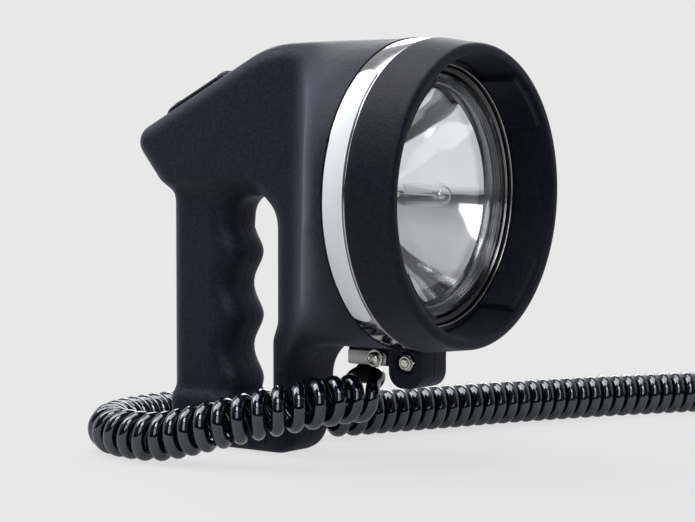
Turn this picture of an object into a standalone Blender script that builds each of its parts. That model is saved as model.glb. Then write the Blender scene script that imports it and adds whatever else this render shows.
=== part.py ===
"""Hand-held lifeboat searchlight with a curly cord and a 12 V plug.

+X is where the lamp shines, +Z is up, and the part stands on z = 0. Places along X are first measured
from the rear edge of the clamp band, and the root empty then centres the lamp's body on x = 0.
"""
import math

import bmesh
import bpy
import numpy as np
from mathutils import Matrix
from mathutils.geometry import delaunay_2d_cdt

mm = 0.001
degree = math.pi / 180

# Clearances
touch_gap = 0.3 * mm
seam_gap = 0.3 * mm
run_gap = 0.4 * mm
overrun = 2.0 * mm

# Head: it grows upward from its lowest point
head_foot_z = 51.5 * mm
nose_down = 1.6 * degree
head_radius = 69.0 * mm
axis_height = head_foot_z + head_radius
shell_wall = 2.8 * mm
neck_length = 57.0 * mm
flange_step = 1.6 * mm
flange_radius = head_radius - flange_step
flange_wall = 3.4 * mm
flange_reach = 5.9 * mm

# Body seen from the side
body_half_width = 19.0 * mm
grip_half_width = 14.5 * mm
base_half_width = 18.0 * mm
slope_top_x = -73.0 * mm
roof_radius = 55.0 * mm
beak_x = -160.2 * mm
beak_drop = 41.1 * mm
arm_depth = 29.4 * mm
beak_z = axis_height + head_radius - beak_drop
beak_radius = 9.0 * mm
beak_root_z = beak_z - arm_depth
beak_root_radius = 8.0 * mm
grip_rear_x = -135.6 * mm
heel_radius = 7.0 * mm
nose_x = -58.6 * mm
nose_radius = 13.0 * mm
underside_rise = 1.0 * mm
underside_z = head_foot_z + underside_rise
armpit_radius = 17.0 * mm
strut_depth = 10.0 * mm
base_height = 22.0 * mm
window_top_z = beak_z - arm_depth
window_radius = 14.0 * mm
window_foot_radius = 5.0 * mm
grip_depth = 38.2 * mm
groove_depth = 6.0 * mm
groove_pitch = 30.4 * mm
middle_bump_z = 62.3 * mm
arm_side_rise = 5.0 * mm
arm_side_z = window_top_z + arm_side_rise
width_blend = 3.5 * mm
edge_radius = 10.0 * mm
strut_edge_radius = 4.6 * mm
outline_step = 7.0 * mm
skin_step = 11.5 * mm
ring_shares = (0.12, 0.42, 1.0)
inner_ring_shares = (0.3, 1.0)
inner_step_share = 2.0
least_flat = 0.1 * mm

# Front bezel and clamp band
bezel_rear = 12.5 * mm
bezel_front = 34.0 * mm
bezel_taper = 2.6 * mm
bezel_rear_radius = head_radius
bezel_front_radius = bezel_rear_radius - bezel_taper
bezel_edge_radius = 2.6 * mm
hood_wall = 8.6 * mm
hood_flare = 1.0 * mm
hood_bore_radius = bezel_rear_radius - hood_wall
hood_mouth_radius = hood_bore_radius + hood_flare
shelf_width = 7.4 * mm
shelf_radius = hood_bore_radius - shelf_width
shelf_thickness = 2.6 * mm
pad_count = 4
pad_first_angle = 43.0 * degree
pad_span = 29.0 * degree
pad_rear = 14.8 * mm
pad_front = 30.5 * mm
pad_height = 2.6 * mm
band_thickness = 1.0 * mm
band_end_angle = 10.5 * degree
label_thickness = 0.25 * mm
label_inset = 1.3 * mm
label_top_angle = 50.0 * degree
label_bottom_angle = -50.0 * degree

# Lug under the head, where a pinch bolt closes the two halves
lug_rear_x = -8.1 * mm
lug_length = 18.0 * mm
lug_half_width = 10.2 * mm
lug_foot_z = 35.0 * mm
lug_radius = 7.5 * mm
lug_bolt_x = 1.2 * mm
lug_bolt_z = 46.6 * mm
lug_pocket_radius = 5.4 * mm
lug_pocket_depth = 4.6 * mm
bolt_radius = 2.0 * mm
bolt_head_radius = 3.6 * mm
bolt_head_height = 2.4 * mm
nut_width = 7.0 * mm
nut_height = 3.2 * mm
nut_collar_height = 1.4 * mm

# Block behind the lug, with the strain bracket of the cord
block_rear_x = -33.0 * mm
block_length = 23.0 * mm
block_half_width = 6.0 * mm
block_foot_z = 44.0 * mm
bracket_thickness = 0.8 * mm
bracket_height = 6.4 * mm
bracket_rear_margin = 0.6 * mm
bracket_front_margin = 1.2 * mm
strain_screw_x = -16.8 * mm
strain_screw_radius = 1.5 * mm
strain_head_radius = 2.9 * mm
strain_head_height = 2.0 * mm
washer_radius = 4.1 * mm
washer_thickness = 0.8 * mm
strain_grip_depth = 4.5 * mm

# Lamp unit
lamp_side_room = 3.25 * mm
lamp_radius = hood_bore_radius - lamp_side_room
lamp_recess = 4.0 * mm
gasket_thickness = 2.2 * mm
lamp_rim_depth = 3.4 * mm
lamp_rim_width = 2.8 * mm
lens_thickness = 2.4 * mm
lens_crown = 8.5 * mm
bowl_depth = 36.0 * mm
bowl_wall = 1.8 * mm
bowl_neck_radius = 12.0 * mm
snap_ring_depth = 1.8 * mm
snap_ring_width = 3.0 * mm
capsule_radius = 5.2 * mm
capsule_length = 25.0 * mm
capsule_tip_x = 17.0 * mm
pinch_width = 8.0 * mm
pinch_thickness = 3.0 * mm
holder_radius = 7.5 * mm
holder_length = 4.5 * mm
filament_radius = 0.9 * mm
filament_length = 4.4 * mm
terminal_width = 6.3 * mm
terminal_thickness = 0.8 * mm
terminal_length = 9.0 * mm
terminal_spacing = 11.0 * mm

# Rocker switch on the rear slope
slope_centre_share = 0.455
switch_frame_length = 50.0 * mm
switch_frame_width = 24.0 * mm
switch_frame_height = 1.6 * mm
switch_skirt_wall = 1.4 * mm
rocker_length = 40.0 * mm
rocker_width = 15.0 * mm
rocker_end_gap = 1.2 * mm
rocker_crest = 4.6 * mm
rocker_dip = 2.4 * mm
rocker_depth = 3.2 * mm
rocker_pivot_depth = 4.2 * mm
rocker_boss_radius = 2.6 * mm
pivot_radius = 1.0 * mm
skirt_depth = 8.0 * mm
switch_body_depth = 13.0 * mm
switch_body_length = 30.0 * mm
blade_length = 20.0 * mm
blade_width = 5.0 * mm
blade_thickness = 0.8 * mm
blade_chamber_depth = 4.6 * mm
switch_tab_length = 7.0 * mm
switch_tab_spacing = 9.5 * mm

# Screws from the far side that join the housing halves
screw_radius = 1.5 * mm
screw_head_radius = 2.8 * mm
screw_head_height = 2.0 * mm
screw_post_radius = 4.2 * mm
screw_bite = 7.0 * mm
screw_sink = 1.2 * mm
base_boss_radius = 6.5 * mm
base_boss_height = 0.8 * mm
base_boss_x = -78.0 * mm
base_boss_z = 9.5 * mm

# Cord, its gland and sleeve
cord_radius = 3.3 * mm
curl_radius = 7.85 * mm
curl_pitch = 7.3 * mm
hanging_pitch = 8.7 * mm
hanging_length = 95.0 * mm
curl_points = 8
first_turn_share = 0.25
last_turn_share = 0.625
tube_sides_level = 1
gland_x = -47.0 * mm
gland_z = 30.4 * mm
gland_root_radius = 4.9 * mm
gland_tip_radius = 4.1 * mm
sleeve_radius = 4.6 * mm
sleeve_length = 8.0 * mm
sleeve_centre = (-29.5 * mm, 3.6 * mm, 38.9 * mm)

# Plug
plug_centre = (101.0 * mm, 150.0 * mm)
plug_heading = -88.0 * degree
plug_radius = 10.4 * mm
plug_grip_radius = 12.6 * mm
plug_grip_length = 30.0 * mm
plug_barrel_length = 34.0 * mm
plug_boot_length = 16.0 * mm
plug_boot_radius = 6.0 * mm
plug_nose_length = 7.0 * mm
plug_nose_radius = 7.6 * mm
plug_tip_radius = 3.0 * mm
plug_tip_proud = 5.0 * mm
plug_tip_travel = 3.0 * mm
plug_tip_flange_radius = 4.4 * mm
plug_contact_width = 5.0 * mm
plug_contact_thickness = 0.8 * mm
plug_contact_length = 20.0 * mm
plug_contact_travel = 0.9 * mm
wire_radius = 1.0 * mm
wire_spread = 2.5 * mm

# Route of the curly cord's axis, and of its straight tail before and lead after the curls
tail_route = [
    (-47.0 * mm, 0.0, 30.4 * mm),
    (-44.6 * mm, 0.0, 30.4 * mm),
    (-42.2 * mm, 0.0, 30.4 * mm),
    (-39.4 * mm, 1.4 * mm, 33.0 * mm),
    (-36.7 * mm, 3.0 * mm, 37.0 * mm),
    (-33.5 * mm, 3.6 * mm, 38.9 * mm),
    (-29.5 * mm, 3.6 * mm, 38.9 * mm),
    (-25.5 * mm, 3.6 * mm, 38.9 * mm),
    (-22.6 * mm, 2.7 * mm, 38.4 * mm),
    (-20.8 * mm, 0.0, 37.4 * mm),
    (-19.8 * mm, -3.6 * mm, 35.9 * mm),
]
curl_route = [
    (-23.6 * mm, -9.0 * mm, 29.4 * mm),
    (-25.4 * mm, -14.8 * mm, 29.4 * mm),
    (-28.0 * mm, -21.8 * mm, 29.2 * mm),
    (-32.0 * mm, -29.6 * mm, 28.3 * mm),
    (-37.3 * mm, -37.0 * mm, 27.0 * mm),
    (-43.8 * mm, -43.6 * mm, 25.5 * mm),
    (-51.1 * mm, -49.2 * mm, 23.6 * mm),
    (-58.7 * mm, -53.6 * mm, 21.4 * mm),
    (-66.6 * mm, -56.8 * mm, 19.0 * mm),
    (-75.3 * mm, -59.2 * mm, 16.6 * mm),
    (-83.6 * mm, -60.8 * mm, 14.4 * mm),
    (-92.0 * mm, -62.2 * mm, 12.4 * mm),
    (-100.4 * mm, -63.2 * mm, 11.3 * mm),
    (-109.0 * mm, -63.4 * mm, 11.3 * mm),
    (-117.4 * mm, -62.6 * mm, 11.3 * mm),
    (-125.6 * mm, -60.2 * mm, 11.3 * mm),
    (-133.0 * mm, -55.9 * mm, 11.3 * mm),
    (-139.4 * mm, -49.2 * mm, 11.3 * mm),
    (-144.4 * mm, -40.0 * mm, 11.3 * mm),
    (-147.6 * mm, -29.0 * mm, 11.3 * mm),
    (-149.2 * mm, -16.0 * mm, 11.3 * mm),
    (-149.2 * mm, -2.0 * mm, 11.3 * mm),
    (-147.0 * mm, 12.0 * mm, 11.3 * mm),
    (-140.8 * mm, 24.8 * mm, 11.3 * mm),
    (-128.0 * mm, 33.4 * mm, 11.3 * mm),
    (-112.0 * mm, 35.4 * mm, 11.3 * mm),
    (-96.5 * mm, 37.4 * mm, 11.3 * mm),
    (-84.5 * mm, 44.0 * mm, 11.3 * mm),
    (-76.5 * mm, 56.0 * mm, 11.3 * mm),
    (-70.0 * mm, 72.0 * mm, 11.3 * mm),
    (-62.0 * mm, 90.0 * mm, 11.3 * mm),
    (-53.0 * mm, 111.0 * mm, 11.3 * mm),
    (-42.0 * mm, 137.0 * mm, 11.3 * mm),
    (-29.0 * mm, 163.5 * mm, 11.3 * mm),
    (-15.0 * mm, 189.5 * mm, 11.3 * mm),
    (0.0, 214.0 * mm, 11.3 * mm),
    (15.5 * mm, 238.0 * mm, 11.3 * mm),
    (31.0 * mm, 258.0 * mm, 11.3 * mm),
    (50.0 * mm, 270.0 * mm, 11.3 * mm),
    (71.0 * mm, 268.0 * mm, 11.3 * mm),
    (86.0 * mm, 255.0 * mm, 11.3 * mm),
]
lead_route = [
    (97.0 * mm, 240.0 * mm, 6.0 * mm),
    (101.0 * mm, 229.0 * mm, 8.0 * mm),
    (101.5 * mm, 217.0 * mm, 11.0 * mm),
]


def clear_scene():
    for old in list(bpy.data.objects):
        bpy.data.objects.remove(old, do_unlink=True)


def material(name, colour, roughness, metallic=0.0):
    found = bpy.data.materials.get(name)
    if found:
        return found
    made = bpy.data.materials.new(name)
    made.use_nodes = True
    shader = made.node_tree.nodes["Principled BSDF"]
    shader.inputs["Base Color"].default_value = (*colour, 1.0)
    shader.inputs["Roughness"].default_value = roughness
    shader.inputs["Metallic"].default_value = metallic
    return made


def housing_plastic():
    return material("housing_plastic", (0.028, 0.032, 0.043), 0.6)


def bezel_rubber():
    return material("bezel_rubber", (0.022, 0.023, 0.034), 0.55)


def soft_rubber():
    return material("soft_rubber", (0.012, 0.012, 0.015), 0.7)


def cord_jacket():
    return material("cord_jacket", (0.01, 0.01, 0.013), 0.12)


def steel():
    return material("stainless_steel", (0.62, 0.62, 0.6), 0.2, 1.0)


def brass():
    return material("contact_metal", (0.7, 0.5, 0.25), 0.3, 1.0)


def mirror():
    return material("reflector_coating", (0.85, 0.86, 0.87), 0.06, 1.0)


def glass():
    return material("lamp_glass", (0.85, 0.9, 0.92), 0.03)


def white_film():
    return material("label_film", (0.8, 0.81, 0.82), 0.45)


def phenolic():
    return material("switch_phenolic", (0.02, 0.02, 0.022), 0.5)


def add_object(name, mesh, look, parent):
    made = bpy.data.objects.new(name, mesh)
    bpy.context.scene.collection.objects.link(made)
    if look:
        mesh.materials.append(look)
    made.parent = parent
    return made


def add_mesh(name, points, faces, look, parent, smooth=True):
    mesh = bpy.data.meshes.new(name)
    mesh.from_pydata([tuple(p) for p in points], [], [tuple(f) for f in faces])
    edit = bmesh.new()
    edit.from_mesh(mesh)
    bmesh.ops.recalc_face_normals(edit, faces=edit.faces)
    edit.to_mesh(mesh)
    edit.free()
    if smooth:
        mesh.shade_smooth()
        mesh.set_sharp_from_angle(angle=40 * degree)
    return add_object(name, mesh, look, parent)


def turned(name, profile, look, parent, steps=48, closed=False):
    """A profile of (x, radius) turned about X. It is closed in itself, or runs from axis to axis."""
    points, rings = [], []
    angles = [2 * math.pi * k / steps for k in range(steps)]
    for x, radius in profile:
        start = len(points)
        if radius > 0:
            points += [(x, radius * math.cos(a), radius * math.sin(a)) for a in angles]
            rings.append([start + k for k in range(steps)])
        else:
            points.append((x, 0.0, 0.0))
            rings.append([start] * steps)
    faces = []
    count = len(rings)
    for i in range(count if closed else count - 1):
        a, b = rings[i], rings[(i + 1) % count]
        for k in range(steps):
            n = (k + 1) % steps
            corner = [a[k], a[n], b[n], b[k]]
            corner = [c for j, c in enumerate(corner) if c not in corner[:j]]
            if len(corner) > 2:
                faces.append(corner)
    return add_mesh(name, points, faces, look, parent)


def arc_block(name, profile, first, last, look, parent, steps, shift=0.0):
    """A closed profile of (x, radius) carried about X from one angle to another. Angle 0 is -Y, 90 is up."""
    points, faces = [], []
    count = len(profile)
    for k in range(steps + 1):
        a = first + (last - first) * k / steps
        points += [(x, -r * math.cos(a) + shift, r * math.sin(a)) for x, r in profile]
    for k in range(steps):
        for i in range(count):
            n = (i + 1) % count
            faces.append((k * count + i, k * count + n, (k + 1) * count + n, (k + 1) * count + i))
    faces.append(tuple(range(count)))
    faces.append(tuple(steps * count + i for i in range(count)))
    return add_mesh(name, points, faces, look, parent)


def block(name, low, high, look, parent, bevel=0.0, segments=2):
    centre = [(a + b) / 2 for a, b in zip(low, high)]
    size = [b - a for a, b in zip(low, high)]
    mesh = bpy.data.meshes.new(name)
    edit = bmesh.new()
    bmesh.ops.create_cube(edit, size=1.0, matrix=Matrix.Translation(centre) @ Matrix.Diagonal((*size, 1.0)))
    if bevel:
        bmesh.ops.bevel(edit, geom=edit.edges[:], offset=bevel, segments=segments, profile=0.5, affect="EDGES")
    edit.to_mesh(mesh)
    edit.free()
    return add_object(name, mesh, look, parent)


def slab(name, outline, low, high, look, parent):
    """A closed outline of (x, z) carried along Y from low to high."""
    count = len(outline)
    points = [(x, low, z) for x, z in outline] + [(x, high, z) for x, z in outline]
    faces = [(i, (i + 1) % count, count + (i + 1) % count, count + i) for i in range(count)]
    faces += [tuple(range(count)), tuple(range(count, 2 * count))]
    return add_mesh(name, points, faces, look, parent)


def rod(name, radius, start, end, look, parent, sides=24):
    """A cylinder along Y at (x, z) = start[:1] + start[2:], or along X, whichever the two ends differ in."""
    along = 0 if start[0] != end[0] else 1
    length = end[along] - start[along]
    made = turned(name, [(0, 0), (0, radius), (length, radius), (length, 0)], look, parent, sides)
    made.location = start
    if along == 1:
        made.rotation_euler = (0, 0, math.pi / 2)
    return made


def hide(made):
    made.hide_render = True
    made.display_type = "WIRE"
    return made


def combine(target, other, operation, solver="EXACT"):
    change = target.modifiers.new(operation.lower() + "_" + other.name, "BOOLEAN")
    change.solver = solver
    change.operation = operation
    change.object = hide(other)


def rounded(corners, step):
    """Points along a path of (x, z, radius) corners, each corner an arc, and straight runs cut into steps."""
    path = []
    count = len(corners)
    for i, (x, z, radius) in enumerate(corners):
        here = np.array((x, z))
        if radius == 0:
            path.append(here)
            continue
        before = np.array(corners[i - 1][:2]) - here
        after = np.array(corners[(i + 1) % count][:2]) - here
        before, after = before / np.linalg.norm(before), after / np.linalg.norm(after)
        half = math.acos(np.clip(before @ after, -1, 1)) / 2
        reach = radius / math.tan(half)
        centre = here + (before + after) / np.linalg.norm(before + after) * radius / math.sin(half)
        a, b = here + before * reach - centre, here + after * reach - centre
        turn = math.pi - 2 * half
        cuts = max(2, round(turn * radius / step))
        sense = math.copysign(1.0, a[0] * b[1] - a[1] * b[0])
        for k in range(cuts + 1):
            angle = sense * turn * k / cuts
            c, s = math.cos(angle), math.sin(angle)
            path.append(centre + np.array((c * a[0] - s * a[1], s * a[0] + c * a[1])))
    return np.array(path)


def stepped(path, step):
    """The path with its long runs cut into equal steps."""
    made = [path[0]]
    for a, b in zip(path[:-1], path[1:]):
        cuts = max(1, round(np.linalg.norm(b - a) / step))
        made += [a + (b - a) * k / cuts for k in range(1, cuts + 1)]
    return np.array(made)


def to_head(x, z):
    """Places in the side view as (along the lamp's axis, up from it)."""
    c, s = math.cos(nose_down), math.sin(nose_down)
    up = z - axis_height
    return x * c - up * s, x * s + up * c


def from_head(x, z):
    c, s = math.cos(nose_down), math.sin(nose_down)
    return x * c + z * s, -x * s + z * c + axis_height


def body_outline(step):
    """The body's side outline from the top of its mouth, round the back, to the bottom of the mouth."""
    top, bottom = from_head(0, head_radius), from_head(0, -head_radius)
    corners = [
        (*top, 0),
        (slope_top_x, top[1], roof_radius),
        (beak_x, beak_z, beak_radius),
        (grip_rear_x, beak_root_z, beak_root_radius),
        (grip_rear_x, 0, heel_radius),
        (nose_x, 0, nose_radius),
        (nose_x, underside_z, armpit_radius),
        (*bottom, 0),
    ]
    return stepped(rounded(corners, step), step)


def groove_x(z):
    """The grip's front face, with a bump and a groove for each finger."""
    bump_x = grip_rear_x + grip_depth
    return bump_x + groove_depth / 2 * np.cos(2 * np.pi * (z - middle_bump_z) / groove_pitch)


def window_outline(step):
    """The finger gap between the grip and the strut, all round."""
    strut_rear_x = nose_x - strut_depth
    high, low = window_top_z - window_radius, base_height + window_foot_radius
    grip_z = np.linspace(low, high, max(12, round((high - low) / step)))
    corners = [
        (groove_x(high), window_top_z, window_radius * 0.7),
        (strut_rear_x, window_top_z, window_radius),
        (strut_rear_x, base_height, window_foot_radius),
        (groove_x(low), base_height, window_foot_radius * 0.9),
    ]
    frame = rounded(corners, step)
    closed = np.vstack([np.column_stack([groove_x(grip_z), grip_z]), frame])
    return stepped(np.vstack([closed, closed[:1]]), step)[:-1]


def inward(path, closed):
    """Unit normals of a path, to its left, which is the body's side of both outlines."""
    if closed:
        along = np.roll(path, -1, axis=0) - np.roll(path, 1, axis=0)
    else:
        along = np.gradient(path, axis=0)
    along = along / np.linalg.norm(along, axis=1)[:, None]
    return np.column_stack([-along[:, 1], along[:, 0]])


def distance_to(points, path, closed):
    a = path if closed else path[:-1]
    b = np.roll(path, -1, axis=0) if closed else path[1:]
    best = np.full(len(points), np.inf)
    for start, end in zip(a, b):
        run = end - start
        share = np.clip((points - start) @ run / max(run @ run, mm * mm * mm), 0, 1)
        best = np.minimum(best, np.linalg.norm(points - start - share[:, None] * run, axis=1))
    return best


def inside(points, path):
    """Whether each point lies in the closed path."""
    x, z = points[:, 0], points[:, 1]
    odd = np.zeros(len(points), bool)
    for (ax, az), (bx, bz) in zip(path, np.roll(path, -1, axis=0)):
        crosses = (az > z) != (bz > z)
        with np.errstate(divide="ignore", invalid="ignore"):
            odd ^= crosses & (x < ax + (z - az) * (bx - ax) / (bz - az))
    return odd


def ease(value, start, end):
    share = np.clip((value - start) / (end - start), 0, 1)
    return share * share * (3 - 2 * share)


def widths(points):
    """The body's half width and edge radius at places in the side view."""
    x, z = points[:, 0], points[:, 1]
    along, _ = to_head(x, z)
    neck = 0.5 + 0.5 * np.cos(np.pi * np.clip(-along / neck_length, 0, 1))
    strut_rear_x = nose_x - strut_depth
    below_arm = 1 - ease(z, arm_side_z - width_blend, arm_side_z + width_blend)
    behind_gap = 1 - ease(x, strut_rear_x - 4 * width_blend, strut_rear_x - width_blend)
    above_base = ease(z, base_height, base_height + 2 * width_blend)
    grip = below_arm * behind_gap * above_base
    base = (1 - above_base) * below_arm
    half = body_half_width + (grip_half_width - body_half_width) * grip
    half = half + (base_half_width - body_half_width) * base
    in_strut = ease(x, strut_rear_x - width_blend, strut_rear_x) * (1 - ease(z, underside_z, underside_z + edge_radius))
    edge = edge_radius + (strut_edge_radius - edge_radius) * in_strut * above_base
    half = half + (head_radius - half) * neck
    edge = edge + (head_radius - edge) * neck
    return half, edge


def bulge(depth, half, edge):
    """The half width at a depth in from the outline: flat across the edge, then a quarter circle."""
    share = np.clip(depth / edge, 0, 1)
    return np.maximum(half - edge, least_flat) + edge * np.sqrt(1 - (1 - share) ** 2)


def half_skin(outline, window, mouth_radius, wall, step, shares):
    """(places, half widths, triangles) of one side's skin, inset by wall. The rim's points come first."""
    angles = np.linspace(0, np.pi, max(13, round(np.pi * mouth_radius / step)))[1:-1]
    mouth = np.array([from_head(0, mouth_radius * math.cos(a)) for a in angles])[::-1]
    if wall:
        outer = outline + inward(outline, False) * wall
        outer[0], outer[-1] = from_head(0, mouth_radius), from_head(0, -mouth_radius)
        hole = window + inward(window, True) * wall
    else:
        outer, hole = outline, window
    rim = np.vstack([outer, mouth])
    fixed = np.vstack([rim, hole])
    extra = []
    for path, closed in ((outline, False), (window, True)):
        _, edge = widths(path)
        for share in shares:
            reach = wall + (edge - wall) * share
            move = path + inward(path, closed) * reach[:, None]
            near = np.minimum(distance_to(move, outline, False), distance_to(move, window, True))
            extra.append(move[near > 0.96 * reach])
    low, high = rim.min(0), rim.max(0)
    grid = np.array(np.meshgrid(np.arange(low[0], high[0], step), np.arange(low[1], high[1], step)))
    extra.append(grid.reshape(2, -1).T)
    extra = np.vstack(extra)
    extra = extra[inside(extra, rim) & ~inside(extra, hole)]
    kept = []
    clear = step * 0.42
    for point in extra:
        others = fixed if not kept else np.vstack([fixed, kept])
        if np.linalg.norm(others - point, axis=1).min() > clear:
            kept.append(point)
    places = np.vstack([fixed, kept])
    rim_count, hole_count = len(rim), len(hole)
    edges = [(i, (i + 1) % rim_count) for i in range(rim_count)]
    edges += [(rim_count + i, rim_count + (i + 1) % hole_count) for i in range(hole_count)]
    scaled = [tuple(p / mm) for p in places]
    _, _, faces, origins, _, _ = delaunay_2d_cdt(scaled, edges, [], 1, 1e-5)
    triangles = np.array([[origins[v][0] for v in face] for face in faces])
    centres = places[triangles].mean(axis=1)
    triangles = triangles[inside(centres, rim) & ~inside(centres, hole)]
    depth = np.minimum(distance_to(places, outline, False), distance_to(places, window, True)) - wall
    half, edge = widths(places)
    heights = bulge(np.maximum(depth, 0), half - wall, edge - wall)
    count = len(outer)
    _, up = to_head(mouth[:, 0], mouth[:, 1])
    heights[count:rim_count] = np.sqrt(np.maximum(mouth_radius**2 - up**2, 0))
    return places, heights, triangles, count, rim_count, hole_count


def housing_half(name, side, parent):
    """One half shell: its outer and inner skins, joined along the seam and round the mouth."""
    outline, window = body_outline(outline_step), window_outline(outline_step)
    outer = half_skin(outline, window, head_radius, 0.0, skin_step, ring_shares)
    inner = half_skin(outline, window, head_radius - shell_wall, shell_wall, skin_step * inner_step_share,
                      inner_ring_shares)
    points, faces, mouths, seams = [], [], [], []
    for places, heights, triangles, count, rim_count, hole_count in (outer, inner):
        start = len(points)
        points += [(x, side * (h + seam_gap / 2), z) for (x, z), h in zip(places, heights)]
        faces += [tuple(start + v for v in t) for t in triangles]
        seam = len(points)
        points += [(x, side * seam_gap / 2, z) for x, z in places[:count]]
        points += [(x, side * seam_gap / 2, z) for x, z in places[rim_count : rim_count + hole_count]]
        for i in range(count - 1):
            faces.append((start + i, start + i + 1, seam + i + 1, seam + i))
        rim, lip = start + rim_count, seam + count
        for i in range(hole_count):
            n = (i + 1) % hole_count
            faces.append((rim + i, rim + n, lip + n, lip + i))
        mouths.append([seam + count - 1, *range(start + count - 1, start + rim_count), start, seam])
        seams.append((seam, lip))
    (a, c), (b, d) = seams
    faces += [(a + i, a + i + 1, b + i + 1, b + i) for i in range(count - 1)]
    faces += [(c + i, c + (i + 1) % hole_count, d + (i + 1) % hole_count, d + i) for i in range(hole_count)]
    faces += mouth_faces(*mouths)
    return add_mesh(name, points, faces, housing_plastic(), parent)


def mouth_faces(first, second):
    """Faces between two rows of points that may differ in count."""
    faces = []
    i = j = 0
    while i < len(first) - 1 or j < len(second) - 1:
        ahead = (i + 1) / (len(first) - 1) <= (j + 1) / (len(second) - 1)
        if j == len(second) - 1 or (ahead and i < len(first) - 1):
            faces.append((first[i], first[i + 1], second[j]))
            i += 1
        else:
            faces.append((first[i], second[j + 1], second[j]))
            j += 1
    return faces


def slope_frame():
    """(x, z, angle) of the switch's place on the rear slope: its middle and its rise."""
    top_z = from_head(0, head_radius)[1]
    rise = math.atan2(top_z - beak_z, slope_top_x - beak_x)
    share = slope_centre_share
    return beak_x + (slope_top_x - beak_x) * share, beak_z + (top_z - beak_z) * share, rise


def screw_places():
    """Where screws join the halves: in the arm, the grip's foot, the strut's foot and the head's back."""
    return [
        (nose_x - strut_depth / 2 - screw_post_radius, arm_side_z + 4 * screw_post_radius),
        (grip_rear_x + grip_depth / 2, beak_root_z - groove_pitch / 2),
        (grip_rear_x + grip_depth / 2, base_height / 2),
        (base_boss_x, base_boss_z),
    ]


def local_half_width(x, z):
    outline, window = body_outline(outline_step), window_outline(outline_step)
    place = np.array([(x, z)])
    depth = np.minimum(distance_to(place, outline, False), distance_to(place, window, True))
    half, edge = widths(place)
    return float(bulge(depth, half, edge)[0])


def lug_outline():
    top_z = axis_height - flange_radius + flange_wall / 2
    front_x = lug_rear_x + lug_length
    step_x = from_head(flange_reach, -flange_radius)[0] - touch_gap
    step_z = from_head(bezel_rear, -flange_radius)[1] - 2 * touch_gap
    corners = [
        (lug_rear_x, top_z, 0),
        (lug_rear_x, lug_foot_z, lug_radius),
        (front_x, lug_foot_z, lug_radius),
        (front_x, step_z, 0),
        (step_x, step_z, 0),
        (step_x, top_z, 0),
    ]
    return rounded(corners, lug_radius / 3)


def block_outline():
    front_x = block_rear_x + block_length
    top_z = underside_z + shell_wall / 2
    edge = block_half_width / 5
    corners = [
        (block_rear_x, top_z, 0),
        (block_rear_x, block_foot_z, edge),
        (front_x, block_foot_z, edge),
        (front_x, top_z, 0),
    ]
    return rounded(corners, edge)


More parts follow.
